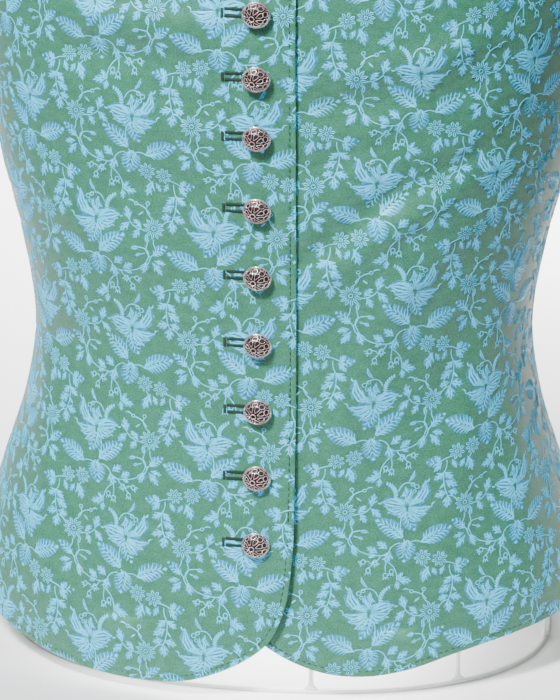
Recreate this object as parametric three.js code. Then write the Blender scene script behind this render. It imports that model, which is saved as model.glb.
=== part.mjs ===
// A sleeveless waistcoat of brocaded cotton on a limbless table-top dress form.
// Millimetres, +Z up, -Y is the front of the wearer and +X the wearer's left.
// The foot ring stands on z = 0 while the pieces are made. The finished group is then
// moved so that the middle of its bounding box stands over the origin.

import * as THREE from 'three';

// ---------------------------------------------------------------- driving dimensions

const CLOTH = 1.6; // shell, interlining and lining together
const SEAM_GAP = 0.3; // between two sewn pieces
const LAP = 20; // each front runs this far past the centre line
const LAP_LIFT = 2.6; // the buttoned front lies this much further out
const LAP_FADE = { from: 32, to: 66 }; // where that lift ends, from the centre line
const FREE_EDGE = { lift: 2.4, reach: 30, from: 175, to: 95 }; // the lap's loose lower edge

// Heights of the buttons from the lowest up, sewn on not quite evenly.
const BUTTON_HEIGHTS = [92, 130, 168, 206.5, 245.5, 284, 325, 358, 392.5, 431];
const BUTTON_DROOP = THREE.MathUtils.degToRad(7); // a shank button hangs forward
const BUTTON_GAP = 1.4;

const ARMPIT = 430; // height of the top of the side seam
const NECK_POINT_X = 84; // where the shoulder seam meets the neckline
const SHOULDER_END_X = 150; // where the shoulder seam meets the armhole
const BACK_NECK = 562; // height of the back neckline at the centre
const BREAK_POINT = 452; // height where the front edge turns into the neckline

const FORM_BASE = 50; // the dress form's torso starts here
const FOOT_RING = { side: 152, depth: 106, wide: 3.4, high: 2.4 };
const STRUT_COUNT = 10;
const STRUT_FIRST = 29; // along the ring from the centre front to the first strut
const FIT_GAP = 0.3; // between the dress form's own pieces

// The inside of the cloth at each height: half the width, and the depth before and behind
// the side seams. The last rows are the neck of the dress form.
const BODY = [
  { z: 0, side: 172, front: 121, back: 124 },
  { z: 45, side: 171, front: 120, back: 125 },
  { z: 95, side: 157, front: 113, back: 114 },
  { z: 140, side: 143, front: 109.5, back: 102 },
  { z: 185, side: 137, front: 108.5, back: 96 },
  { z: 235, side: 144, front: 110.5, back: 98 },
  { z: 290, side: 157, front: 114.5, back: 104 },
  { z: 345, side: 164, front: 119, back: 110 },
  { z: 390, side: 167, front: 121.5, back: 113 },
  { z: 430, side: 167, front: 118, back: 115 },
  { z: 470, side: 166, front: 108, back: 114 },
  { z: 505, side: 163, front: 97, back: 110 },
  { z: 532, side: 155, front: 87, back: 103 },
  { z: 552, side: 139, front: 78, back: 93 },
  { z: 568, side: 116, front: 68, back: 80 },
  { z: 580, side: 94, front: 58, back: 67 },
  { z: 589, side: 77, front: 51, back: 58 },
  { z: 596, side: 66, front: 48, back: 53 },
  { z: 605, side: 60, front: 47, back: 51 },
  { z: 620, side: 57, front: 48, back: 50 },
  { z: 650, side: 56, front: 50, back: 50 },
];
const SQUARENESS = { body: 2.25, neck: 2.02 }; // exponents of the level superellipses
const NECK_ROUNDS = { from: 560, to: 600 }; // heights between which one becomes the other

// How far the torso stays inside the cloth.
const EASE = [
  { z: 50, ease: 8 },
  { z: 120, ease: 6 },
  { z: 185, ease: 4.5 },
  { z: 290, ease: 3 },
  { z: 430, ease: 2.6 },
  { z: 530, ease: 2.4 },
  { z: 580, ease: 2.2 },
  { z: 650, ease: 1 },
];

// Soft folds, as ridges (or troughs, where rise is negative) on the cloth: across is the
// distance from the centre line towards the wearer's left, lean turns the ridge from level.
const FRONT_FOLDS = [
  { across: 66, up: 322, long: 78, wide: 15, lean: 52, rise: 1.8 },
  { across: 96, up: 300, long: 82, wide: 17, lean: 50, rise: 1.5 },
  { across: 60, up: 262, long: 60, wide: 14, lean: 38, rise: 1.2 },
  { across: -64, up: 376, long: 55, wide: 13, lean: -8, rise: 1.5 },
  { across: -70, up: 332, long: 62, wide: 14, lean: -12, rise: 1.4 },
  { across: -86, up: 246, long: 60, wide: 15, lean: 14, rise: 1.1 },
  { across: 112, up: 112, long: 95, wide: 15, lean: 84, rise: 2.2 },
  { across: 150, up: 120, long: 80, wide: 17, lean: 96, rise: 1.8 },
  { across: -128, up: 104, long: 85, wide: 17, lean: 98, rise: 1.8 },
];
const BACK_FOLDS = [
  { across: 60, up: 196, long: 62, wide: 12, lean: 8, rise: 1.7 },
  { across: -66, up: 216, long: 58, wide: 13, lean: -10, rise: 1.6 },
  { across: 84, up: 95, long: 80, wide: 18, lean: 88, rise: 1.8 },
  { across: -92, up: 90, long: 76, wide: 17, lean: 94, rise: 1.6 },
  { across: -70, up: 402, long: 60, wide: 15, lean: 62, rise: 1.3 },
];

// ---------------------------------------------------------------- small helpers

const smooth = (from, to, value) => {
  const part = THREE.MathUtils.clamp((value - from) / (to - from), 0, 1);
  return part * part * (3 - 2 * part);
};

const mix = (a, b, part) => a + (b - a) * part;

// A smooth curve through the rows of a table, read at one value of its key.
function readTable(rows, key, column, value) {
  const last = rows.length - 1;
  if (value <= rows[0][key]) return rows[0][column];
  if (value >= rows[last][key]) return rows[last][column];
  let i = 0;
  while (rows[i + 1][key] < value) i += 1;
  const slope = (k) => {
    const low = Math.max(k - 1, 0);
    const high = Math.min(k + 1, last);
    return (rows[high][column] - rows[low][column]) / (rows[high][key] - rows[low][key]);
  };
  const step = rows[i + 1][key] - rows[i][key];
  const f = (value - rows[i][key]) / step;
  return (
    (2 * f ** 3 - 3 * f ** 2 + 1) * rows[i][column] +
    (f ** 3 - 2 * f ** 2 + f) * step * slope(i) +
    (3 * f ** 2 - 2 * f ** 3) * rows[i + 1][column] +
    (f ** 3 - f ** 2) * step * slope(i + 1)
  );
}

// ---------------------------------------------------------------- the body surface

// up is measured along the cloth: it is the height as far as the armpit, and above that
// it follows the slope of the chest and shoulder.
BODY.forEach((row, i) => {
  const below = BODY[i - 1];
  if (row.z <= ARMPIT) {
    row.up = row.z;
  } else {
    const inwards = (below.side - row.side + below.front - row.front) / 2;
    row.up = below.up + Math.hypot(row.z - below.z, inwards);
  }
});

const upAtSide = (halfWidth) => {
  let low = ARMPIT;
  let high = BODY[BODY.length - 1].up;
  for (let i = 0; i < 40; i += 1) {
    const middle = (low + high) / 2;
    if (readTable(BODY, 'up', 'side', middle) > halfWidth) low = middle;
    else high = middle;
  }
  return low;
};
const upAtHeight = (z) => readTable(BODY, 'z', 'up', z);

// A point of a level superellipse, at an angle from the centre line.
function ellipsePoint(side, depth, squareness, angle) {
  const power = (value) => Math.sign(value) * Math.abs(value) ** (2 / squareness);
  return { x: side * power(Math.sin(angle)), y: depth * power(Math.cos(angle)) };
}

const STEPS = 64; // chords in a quarter of a level section
const sections = new Map();

// A quarter of the level section at one height: points from the centre line to the side
// seam, with the distance round to each of them.
function sectionAt(half, up) {
  const key = `${half} ${up.toFixed(4)}`;
  if (!sections.has(key)) {
    const side = readTable(BODY, 'up', 'side', up);
    const depth = readTable(BODY, 'up', half, up);
    const z = readTable(BODY, 'up', 'z', up);
    const rounding = smooth(NECK_ROUNDS.from, NECK_ROUNDS.to, z);
    const squareness = mix(SQUARENESS.body, SQUARENESS.neck, rounding);
    const points = [];
    let along = 0;
    for (let i = 0; i <= STEPS; i += 1) {
      const { x, y } = ellipsePoint(side, depth, squareness, (i / STEPS) * (Math.PI / 2));
      if (i > 0) along += Math.hypot(x - points[i - 1].x, y - points[i - 1].y);
      points.push({ along, x, y });
    }
    sections.set(key, { points, z, quarter: along });
  }
  return sections.get(key);
}

const quarterAt = (half, up) => sectionAt(half, up).quarter;

// Distance round from the centre line to where the section is x wide.
function aroundAt(half, up, x) {
  const { points } = sectionAt(half, up);
  let i = 1;
  while (i < STEPS && points[i].x < x) i += 1;
  const part = (x - points[i - 1].x) / (points[i].x - points[i - 1].x);
  return mix(points[i - 1].along, points[i].along, part);
}

// The point of the body at a distance around from the centre line of one half.
// A negative distance is past the centre line, and past the side seam the section goes on.
function bodyPoint(half, side, around, up) {
  const { points, z, quarter } = sectionAt(half, up);
  let distance = Math.abs(around);
  let beyond = 1;
  if (distance > quarter) {
    distance = 2 * quarter - distance;
    beyond = -1;
  }
  let i = 1;
  while (i < STEPS && points[i].along < distance) i += 1;
  const a = points[i - 1];
  const b = points[i];
  const part = (distance - a.along) / (b.along - a.along);
  const x = mix(a.x, b.x, part) * side * (around < 0 ? -1 : 1);
  const y = mix(a.y, b.y, part) * beyond * (half === 'front' ? -1 : 1);
  return new THREE.Vector3(x, y, z);
}

// A point moved out from the body along its normal.
function offBody(half, side, around, up, out) {
  const reach = 3;
  const round = bodyPoint(half, side, around + reach, up).sub(bodyPoint(half, side, around - reach, up));
  const rise = bodyPoint(half, side, around, up + reach).sub(bodyPoint(half, side, around, up - reach));
  const normal = round.cross(rise).normalize();
  const turned = (half === 'front' ? 1 : -1) * side;
  return bodyPoint(half, side, around, up).addScaledVector(normal, out * turned);
}

// ---------------------------------------------------------------- cloth

function foldRise(folds, across, up) {
  return folds.reduce((sum, fold) => {
    const lean = THREE.MathUtils.degToRad(fold.lean);
    const dx = across - fold.across;
    const dy = up - fold.up;
    const along = (dx * Math.cos(lean) + dy * Math.sin(lean)) / fold.long;
    const beside = (dy * Math.cos(lean) - dx * Math.sin(lean)) / fold.wide;
    return sum + fold.rise * Math.exp(-(beside ** 2) - along ** 4);
  }, 0);
}

// The buttoned front lies on the other one, and its lower edge stands a little off it.
function lapLift(around, up) {
  const lap = LAP_LIFT * (1 - smooth(LAP_FADE.from, LAP_FADE.to, around));
  const edge = 1 - smooth(-LAP, FREE_EDGE.reach - LAP, around);
  return lap + FREE_EDGE.lift * edge * (1 - smooth(FREE_EDGE.to, FREE_EDGE.from, up));
}

const curveOf = (points) =>
  new THREE.CatmullRomCurve3(
    points.map(([around, up]) => new THREE.Vector3(around, up, 0)),
    false,
    'centripetal',
  );

// A flat piece between four edges, blended over its inside (a Coons patch).
function blend({ hem, top, centre, far }, u, w) {
  const [h, t, c, f] = [hem(u), top(u), centre(w), far(w)];
  const corners = [hem(0), hem(1), top(0), top(1)];
  const value = (axis) =>
    mix(h[axis], t[axis], w) +
    mix(c[axis], f[axis], u) -
    mix(mix(corners[0][axis], corners[1][axis], u), mix(corners[2][axis], corners[3][axis], u), w);
  return { around: value('x'), up: value('y') };
}

// A cloth wall: the piece's points on the body, the same points moved out, and its rim.
function wall({ half, side, edges, columns, rows, lift }) {
  const folds = half === 'front' ? FRONT_FOLDS : BACK_FOLDS;
  const positions = [];
  const count = (columns + 1) * (rows + 1);
  for (const layer of [0, CLOTH]) {
    for (let row = 0; row <= rows; row += 1) {
      for (let column = 0; column <= columns; column += 1) {
        const { around, up } = blend(edges, column / columns, row / rows);
        const out = layer + lift(around, up) + foldRise(folds, around * side, up);
        positions.push(...offBody(half, side, around, up, out).toArray());
      }
    }
  }
  const at = (layer, row, column) => layer * count + row * (columns + 1) + column;
  const indices = [];
  const quad = (a, b, c, d) => indices.push(a, b, c, a, c, d);
  for (let row = 0; row < rows; row += 1) {
    for (let column = 0; column < columns; column += 1) {
      const corners = [[row, column], [row, column + 1], [row + 1, column + 1], [row + 1, column]];
      quad(...corners.map(([r, c]) => at(1, r, c)));
      quad(...corners.reverse().map(([r, c]) => at(0, r, c)));
    }
    quad(at(0, row, 0), at(1, row, 0), at(1, row + 1, 0), at(0, row + 1, 0));
    quad(at(1, row, columns), at(0, row, columns), at(0, row + 1, columns), at(1, row + 1, columns));
  }
  for (let column = 0; column < columns; column += 1) {
    quad(at(1, 0, column), at(0, 0, column), at(0, 0, column + 1), at(1, 0, column + 1));
    quad(at(0, rows, column), at(1, rows, column), at(1, rows, column + 1), at(0, rows, column + 1));
  }
  if ((half === 'front') !== (side > 0)) indices.reverse();
  return solidOf(positions, indices);
}

function solidOf(positions, indices) {
  const geometry = new THREE.BufferGeometry();
  geometry.setAttribute('position', new THREE.Float32BufferAttribute(positions, 3));
  geometry.setIndex(indices);
  geometry.computeVertexNormals();
  return geometry;
}

// The far edge of a piece: up the side seam to the armpit, then round the armhole.
const SEAM_SHARE = 0.64; // the part of the rows that the side seam takes
const BACK_SEAM_SHARE = 0.8; // the part of the rows that the centre back seam takes
function farEdge(half, hemHeight, armhole) {
  const seam = (up) => new THREE.Vector3(quarterAt(half, up) - SEAM_GAP / 2, up, 0);
  const hole = curveOf([
    [quarterAt(half, ARMPIT) - SEAM_GAP / 2, ARMPIT],
    ...armhole.map(([x, z]) => [aroundAt(half, upAtHeight(z), x), upAtHeight(z)]),
    [quarterAt(half, upAtSide(SHOULDER_END_X)) - SEAM_GAP / 2, upAtSide(SHOULDER_END_X)],
  ]);
  return (w) =>
    w < SEAM_SHARE
      ? seam(mix(hemHeight, ARMPIT, w / SEAM_SHARE))
      : hole.getPointAt((w - SEAM_SHARE) / (1 - SEAM_SHARE));
}

// The shoulder seam lies along the top of the body, above the side seam.
function shoulder(half) {
  const neck = upAtSide(NECK_POINT_X);
  const end = upAtSide(SHOULDER_END_X);
  return (u) => {
    const up = mix(neck, end, u);
    return new THREE.Vector3(quarterAt(half, up) - SEAM_GAP / 2, up, 0);
  };
}

// Hem of each front, from its rounded corner to the side seam: distance from the centre
// line and height. The wearer's left front hangs a little higher.
const RIGHT_HEM = [
  [-LAP, 92], [-16.5, 58], [-8, 38], [3, 27.5], [18, 18.5], [40, 10.5], [68, 7.5], [96, 9], [132, 14.5], [180, 24],
];
const LEFT_HEM = [
  [-LAP, 98], [-16, 66], [-7, 46], [5, 34.5], [20, 25.5], [40, 18.6], [62, 17], [84, 20], [112, 27.5], [150, 33], [190, 35],
];
const SIDE_HEM = { right: 32, left: 36 };
const BACK_HEM = 30;

// Neckline and armholes as seen from the front or the back: distance from the centre line
// and height.
const FRONT_NECK = [[-6, 458], [14, 470], [34, 490], [52, 515], [67, 545], [77, 569]];
const FRONT_ARMHOLE = [[163, 434], [146, 450], [133, 474], [129, 502], [135, 528]];
const BACK_ARMHOLE = [[164, 434], [149, 449], [138, 474], [134, 502], [138, 528]];
const BACK_NECK_CURVE = [[26, 563], [50, 568], [70, 577]];

function frontEdges(hemPoints, hemSide) {
  const hemCurve = curveOf([...hemPoints, [quarterAt('front', hemSide) - SEAM_GAP / 2, hemSide]]);
  const neckEnd = upAtSide(NECK_POINT_X);
  const neckline = curveOf([
    [-LAP, BREAK_POINT],
    ...FRONT_NECK.map(([x, z]) => {
      const up = upAtHeight(z);
      return [x < 0 ? x : aroundAt('front', up, x), up];
    }),
    [quarterAt('front', neckEnd) - SEAM_GAP / 2, neckEnd],
  ]);
  const corner = hemPoints[0][1];
  return {
    hem: (u) => hemCurve.getPointAt(u ** 1.2),
    top: shoulder('front'),
    centre: (w) =>
      w < SEAM_SHARE
        ? new THREE.Vector3(-LAP, mix(corner, BREAK_POINT, w / SEAM_SHARE), 0)
        : neckline.getPointAt((w - SEAM_SHARE) / (1 - SEAM_SHARE)),
    far: farEdge('front', hemSide, FRONT_ARMHOLE),
  };
}

function backEdges(hemSide) {
  const hemCurve = curveOf([
    [SEAM_GAP / 2, BACK_HEM],
    [70, BACK_HEM],
    [150, mix(BACK_HEM, hemSide, 0.5)],
    [quarterAt('back', hemSide) - SEAM_GAP / 2, hemSide],
  ]);
  const neckEnd = upAtSide(NECK_POINT_X);
  const neckBack = upAtHeight(BACK_NECK);
  const neckline = curveOf([
    [SEAM_GAP / 2, neckBack],
    ...BACK_NECK_CURVE.map(([x, z]) => [aroundAt('back', upAtHeight(z), x), upAtHeight(z)]),
    [quarterAt('back', neckEnd) - SEAM_GAP / 2, neckEnd],
  ]);
  return {
    hem: (u) => hemCurve.getPointAt(u),
    top: shoulder('back'),
    centre: (w) =>
      w < BACK_SEAM_SHARE
        ? new THREE.Vector3(SEAM_GAP / 2, mix(BACK_HEM, neckBack, w / BACK_SEAM_SHARE), 0)
        : neckline.getPointAt((w - BACK_SEAM_SHARE) / (1 - BACK_SEAM_SHARE)),
    far: farEdge('back', hemSide, BACK_ARMHOLE),
  };
}

const noLift = () => 0;
const FRONT_GRID = { columns: 22, rows: 28 };
const BACK_GRID = { columns: 13, rows: 25 };

const clothPieces = () => ({
  front_right: wall({
    half: 'front', side: -1, edges: frontEdges(RIGHT_HEM, SIDE_HEM.right), lift: lapLift, ...FRONT_GRID,
  }),
  front_left: wall({
    half: 'front', side: 1, edges: frontEdges(LEFT_HEM, SIDE_HEM.left), lift: noLift, ...FRONT_GRID,
  }),
  back_right: wall({ half: 'back', side: -1, edges: backEdges(SIDE_HEM.right), lift: noLift, ...BACK_GRID }),
  back_left: wall({ half: 'back', side: 1, edges: backEdges(SIDE_HEM.left), lift: noLift, ...BACK_GRID }),
});

// ---------------------------------------------------------------- buttons

// A domed shank button, from the middle of its back to the top of its dome.
const BUTTON_PROFILE = [
  [0, 0], [6.2, 0], [7.8, 1.2], [8, 2.1], [7.3, 3.7], [5.4, 5.3], [2.9, 6.2], [0, 6.5],
];

function buttonMesh(number, material) {
  const profile = BUTTON_PROFILE.map(([radius, height]) => new THREE.Vector2(radius, height));
  const mesh = new THREE.Mesh(new THREE.LatheGeometry(profile, 14), material);
  const up = BUTTON_HEIGHTS[number - 1];
  const lift = lapLift(0, up) + foldRise(FRONT_FOLDS, 0, up) + CLOTH;
  mesh.name = `button_${String(number).padStart(2, '0')}`;
  mesh.position.copy(offBody('front', 1, 0, up, lift + BUTTON_GAP));
  const outwards = offBody('front', 1, 0, up, lift + 10).sub(offBody('front', 1, 0, up, lift)).normalize();
  outwards.applyAxisAngle(new THREE.Vector3(1, 0, 0), BUTTON_DROOP);
  mesh.quaternion.setFromUnitVectors(new THREE.Vector3(0, 1, 0), outwards);
  return mesh;
}

// ---------------------------------------------------------------- dress form

// The torso: rings of points inside the cloth, closed by a flat base and a neck cap.
function torso() {
  const around = 9; // columns in a quarter
  const rings = [];
  const ringAt = (up, inset, z) => {
    const ring = [];
    for (const [half, side] of [['front', 1], ['back', 1], ['back', -1], ['front', -1]]) {
      const forward = (half === 'front') === (side > 0);
      for (let i = 0; i < around; i += 1) {
        const part = forward ? i / around : 1 - i / around;
        const point = offBody(half, side, quarterAt(half, up) * part, up, -inset);
        if (z !== undefined) point.z = z;
        ring.push(point);
      }
    }
    rings.push(ring);
  };
  const easeAt = (z) => readTable(EASE, 'z', 'ease', z);
  const round = 3; // rounding of the base and of the neck cap
  ringAt(FORM_BASE + round, easeAt(FORM_BASE) + round, FORM_BASE);
  for (const z of [53, 75, 100, 125, 155, 185, 215, 250, 290, 330, 365, 400, 430, 460, 490]) {
    ringAt(upAtHeight(z), easeAt(z));
  }
  for (const z of [512, 532, 548, 561, 572, 582, 591, 600, 615, 632, 648]) {
    ringAt(upAtHeight(z), easeAt(z));
  }
  ringAt(upAtHeight(648), easeAt(648) + round, 651);

  const columns = around * 4;
  const positions = rings.flat().flatMap((point) => point.toArray());
  const indices = [];
  for (let ring = 0; ring < rings.length - 1; ring += 1) {
    for (let i = 0; i < columns; i += 1) {
      const [a, b] = [ring * columns + i, ring * columns + ((i + 1) % columns)];
      indices.push(a, b, b + columns, a, b + columns, a + columns);
    }
  }
  const caps = [{ ring: 0, down: true }, { ring: rings.length - 1, down: false }];
  for (const { ring, down } of caps) {
    const middle = positions.length / 3;
    positions.push(0, 0, rings[ring][0].z);
    for (let i = 0; i < columns; i += 1) {
      const [a, b] = [ring * columns + i, ring * columns + ((i + 1) % columns)];
      indices.push(...(down ? [b, a, middle] : [a, b, middle]));
    }
  }
  return solidOf(positions, indices);
}

// The foot ring's centre line, as distance round from the centre front.
const ringCurve = () => {
  const points = [];
  const count = 96;
  for (let i = 0; i < count; i += 1) {
    const angle = (i / count) * Math.PI * 2;
    const { x, y } = ellipsePoint(FOOT_RING.side, FOOT_RING.depth, SQUARENESS.body, angle);
    points.push(new THREE.Vector3(x, -y, 0));
  }
  return new THREE.CatmullRomCurve3(points, true, 'centripetal');
};

// A flat bar with rounded upper edges, bent to the ring.
function footRing() {
  const { wide, high } = FOOT_RING;
  const section = [[-0.5, 0], [0.5, 0], [0.5, 0.6], [0.3, 1], [-0.3, 1], [-0.5, 0.6]];
  const curve = ringCurve();
  const count = 44;
  const positions = [];
  for (let i = 0; i < count; i += 1) {
    const middle = curve.getPointAt(i / count);
    const along = curve.getTangentAt(i / count);
    for (const [across, up] of section) {
      positions.push(middle.x + along.y * across * wide, middle.y - along.x * across * wide, up * high);
    }
  }
  const size = section.length;
  const indices = [];
  for (let i = 0; i < count; i += 1) {
    for (let k = 0; k < size; k += 1) {
      const here = i * size;
      const next = ((i + 1) % count) * size;
      const above = (k + 1) % size;
      indices.push(here + k, next + k, next + above, here + k, next + above, here + above);
    }
  }
  return solidOf(positions, indices);
}

// A thin post with a flared foot and head, turned about its own axis.
function strutMesh(number, material) {
  const bottom = FOOT_RING.high + FIT_GAP;
  const height = FORM_BASE - FIT_GAP - bottom;
  const profile = [
    [0, 0], [1.7, 0], [1.5, 2.5], [1.25, 6], [1.2, height - 6], [2.2, height], [0, height],
  ];
  const points = profile.map(([radius, z]) => new THREE.Vector2(radius, z));
  const mesh = new THREE.Mesh(new THREE.LatheGeometry(points, 8), material);
  const curve = ringCurve();
  const total = curve.getLength();
  const share = (STRUT_FIRST / total + (number - 1) / STRUT_COUNT) % 1;
  const foot = curve.getPointAt(share);
  mesh.name = `form_strut_${String(number).padStart(2, '0')}`;
  mesh.position.set(foot.x, foot.y, bottom);
  mesh.rotation.x = Math.PI / 2;
  return mesh;
}

// ---------------------------------------------------------------- the whole object

const cloth = new THREE.MeshStandardMaterial({ color: 0x6fa08c, roughness: 0.55, metalness: 0 });
const metal = new THREE.MeshStandardMaterial({ color: 0xa89088, roughness: 0.35, metalness: 0.9 });
const shell = new THREE.MeshStandardMaterial({ color: 0xf4f4f2, roughness: 0.45, metalness: 0 });

function named(name, geometry, material) {
  const mesh = new THREE.Mesh(geometry, material);
  mesh.name = name;
  return mesh;
}

const garment = new THREE.Group();
for (const [name, geometry] of Object.entries(clothPieces())) garment.add(named(name, geometry, cloth));
for (let number = 1; number <= BUTTON_HEIGHTS.length; number += 1) garment.add(buttonMesh(number, metal));

const dressForm = new THREE.Group();
dressForm.add(named('form_torso', torso(), shell));
dressForm.add(named('form_foot_ring', footRing(), shell));
for (let number = 1; number <= STRUT_COUNT; number += 1) dressForm.add(strutMesh(number, shell));

const standing = new THREE.Group();
standing.add(garment, dressForm);
standing.updateMatrixWorld(true);
const bounds = new THREE.Box3().setFromObject(standing, true);
const middle = bounds.getCenter(new THREE.Vector3());
standing.position.set(-middle.x, -middle.y, -bounds.min.z);

const vestOnForm = new THREE.Group();
vestOnForm.add(standing);

export default vestOnForm;
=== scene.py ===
"""Gives the waistcoat on its dress form its looks: brocade shells, stitching, buttonholes,
openwork buttons, the smooth white form, and a plain studio around them.

Tables and shapes are in millimetres and become metres where a mesh is made. The cloth is
described by two distances: around, from the centre line of the front or back, and up,
along the cloth from the floor.
"""

import math

import bmesh
import bpy
import numpy as np
from mathutils import Matrix, Quaternion, Vector


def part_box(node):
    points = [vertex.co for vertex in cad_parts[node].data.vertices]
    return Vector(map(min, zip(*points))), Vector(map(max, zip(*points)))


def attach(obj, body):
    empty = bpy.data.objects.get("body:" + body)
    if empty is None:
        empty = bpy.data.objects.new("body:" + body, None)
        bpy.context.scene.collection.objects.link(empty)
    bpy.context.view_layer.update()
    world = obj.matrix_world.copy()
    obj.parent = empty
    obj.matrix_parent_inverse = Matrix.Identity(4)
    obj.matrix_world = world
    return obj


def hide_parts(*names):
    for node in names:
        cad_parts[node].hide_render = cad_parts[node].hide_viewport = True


bl_info = {
    "name": "Brocade Waistcoat on a Dress Form",
    "version": (1, 0, 0),
    "blender": (4, 5, 0),
    "location": "View3D > Sidebar > Waistcoat",
    "description": "Builds the looks of a buttoned brocade waistcoat on its dress form",
    "category": "Object",
}

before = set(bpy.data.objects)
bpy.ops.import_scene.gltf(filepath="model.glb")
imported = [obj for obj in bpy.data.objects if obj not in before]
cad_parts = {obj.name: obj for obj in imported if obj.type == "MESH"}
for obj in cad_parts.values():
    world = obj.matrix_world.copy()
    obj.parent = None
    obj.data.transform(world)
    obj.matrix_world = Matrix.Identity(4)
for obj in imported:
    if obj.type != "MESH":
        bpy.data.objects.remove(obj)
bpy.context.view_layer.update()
BODY_NAME = "root"
MM = 0.001

# ------------------------------------------------------------------ sizes, in millimetres

CLOTH = 1.6
SEAM_GAP = 0.3
LAP = 20
LAP_LIFT = 2.6
LAP_FADE = (32, 66)
FREE_EDGE = {"lift": 2.4, "reach": 30, "from": 175, "to": 95}

BUTTON_HEIGHTS = (92, 130, 168, 206.5, 245.5, 284, 325, 358, 392.5, 431)
BUTTON_DROOP = math.radians(7)
BUTTON_GAP = 1.4

ARMPIT = 430
NECK_POINT_X = 84
SHOULDER_END_X = 150
BACK_NECK = 562
BREAK_POINT = 452
FORM_BASE = 50
FOOT_RING = {"side": 152, "depth": 106, "wide": 3.4, "high": 2.4}
STRUT_COUNT = 10
STRUT_FIRST = 29
FIT_GAP = 0.3
SEAM_SHARE = 0.64
BACK_SEAM_SHARE = 0.8
BACK_HEM = 30
SIDE_HEM = {"right": 32, "left": 36}
HEM_CROWDING = 1.2  # draws the columns towards the rounded corner

# The inside of the cloth: height, half the width, depth in front and depth behind.
BODY = np.array([
    (0, 172, 121, 124), (45, 171, 120, 125), (95, 157, 113, 114), (140, 143, 109.5, 102),
    (185, 137, 108.5, 96), (235, 144, 110.5, 98), (290, 157, 114.5, 104), (345, 164, 119, 110),
    (390, 167, 121.5, 113), (430, 167, 118, 115), (470, 166, 108, 114), (505, 163, 97, 110),
    (532, 155, 87, 103), (552, 139, 78, 93), (568, 116, 68, 80), (580, 94, 58, 67),
    (589, 77, 51, 58), (596, 66, 48, 53), (605, 60, 47, 51), (620, 57, 48, 50),
    (650, 56, 50, 50),
], dtype=float)
SQUARENESS = {"body": 2.25, "neck": 2.02}
NECK_ROUNDS = (560, 600)
EASE = np.array([
    (50, 8), (120, 6), (185, 4.5), (290, 3), (430, 2.6), (530, 2.4), (580, 2.2), (650, 1),
], dtype=float)

# Hem of each front from its rounded corner to the side seam, as (around, up).
RIGHT_HEM = [
    (-LAP, 92), (-16.5, 58), (-8, 38), (3, 27.5), (18, 18.5), (40, 10.5), (68, 7.5),
    (96, 9), (132, 14.5), (180, 24),
]
LEFT_HEM = [
    (-LAP, 98), (-16, 66), (-7, 46), (5, 34.5), (20, 25.5), (40, 18.6), (62, 17),
    (84, 20), (112, 27.5), (150, 33), (190, 35),
]
# Neckline and armholes as seen from the front or the back, as (from the centre, height).
FRONT_NECK = [(-6, 458), (14, 470), (34, 490), (52, 515), (67, 545), (77, 569)]
FRONT_ARMHOLE = [(163, 434), (146, 450), (133, 474), (129, 502), (135, 528)]
BACK_ARMHOLE = [(164, 434), (149, 449), (138, 474), (134, 502), (138, 528)]
BACK_NECK_CURVE = [(26, 563), (50, 568), (70, 577)]

# Soft ridges (troughs where the rise is negative), as (across, up, half length,
# half width, lean in degrees, rise). Across runs towards the wearer's left.
FRONT_FOLDS = [
    (66, 322, 78, 15, 52, 1.8), (96, 300, 82, 17, 50, 1.5), (60, 262, 60, 14, 38, 1.2),
    (-64, 376, 55, 13, -8, 1.5), (-70, 332, 62, 14, -12, 1.4), (-86, 246, 60, 15, 14, 1.1),
    (112, 112, 95, 15, 84, 2.2), (150, 120, 80, 17, 96, 1.8), (-128, 104, 85, 17, 98, 1.8),
]
BACK_FOLDS = [
    (60, 196, 62, 12, 8, 1.7), (-66, 216, 58, 13, -10, 1.6), (84, 95, 80, 18, 88, 1.8),
    (-92, 90, 76, 17, 94, 1.6), (-70, 402, 60, 15, 62, 1.3),
]

# ------------------------------------------------------------------ curves and surfaces


def smooth(low, high, value):
    """Rises gently from 0 at low to 1 at high."""
    part = np.clip((np.asarray(value, float) - low) / (high - low), 0, 1)
    return part * part * (3 - 2 * part)


def curve_weights(f):
    """Shares of two points, then of their slopes, in a smooth curve between them."""
    return 2 * f**3 - 3 * f**2 + 1, 3 * f**2 - 2 * f**3, f**3 - 2 * f**2 + f, f**3 - f**2


def read_rows(keys, values, at):
    """A smooth curve through rows of a table."""
    at = np.clip(np.asarray(at, float), keys[0], keys[-1])
    low = np.concatenate([[0], np.arange(len(keys) - 1)])
    high = np.concatenate([np.arange(1, len(keys)), [len(keys) - 1]])
    slopes = (values[high] - values[low]) / (keys[high] - keys[low])
    i = np.clip(np.searchsorted(keys, at, side="right") - 1, 0, len(keys) - 2)
    step = keys[i + 1] - keys[i]
    first, second, first_slope, second_slope = curve_weights((at - keys[i]) / step)
    return (
        first * values[i]
        + first_slope * step * slopes[i]
        + second * values[i + 1]
        + second_slope * step * slopes[i + 1]
    )


def lengths_up(rows):
    """Length along the cloth up to each row: the height as far as the armpit."""
    ups = []
    for i, (z, side, front, _) in enumerate(rows):
        if z <= ARMPIT:
            ups.append(z)
        else:
            inwards = (rows[i - 1][1] - side + rows[i - 1][2] - front) / 2
            ups.append(ups[-1] + math.hypot(z - rows[i - 1][0], inwards))
    return np.array(ups)


UPS = lengths_up(BODY)
DEPTH_COLUMN = {"front": 2, "back": 3}
QUARTER_STEPS = 64
WIDTH_STEPS = 4000
NORMAL_REACH = 3  # how far to each side a slope is taken
CURVE_STEPS = 40  # between two points of an edge


def up_at_height(z):
    """Length up the cloth to a height."""
    return read_rows(BODY[:, 0], UPS, z)


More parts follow.
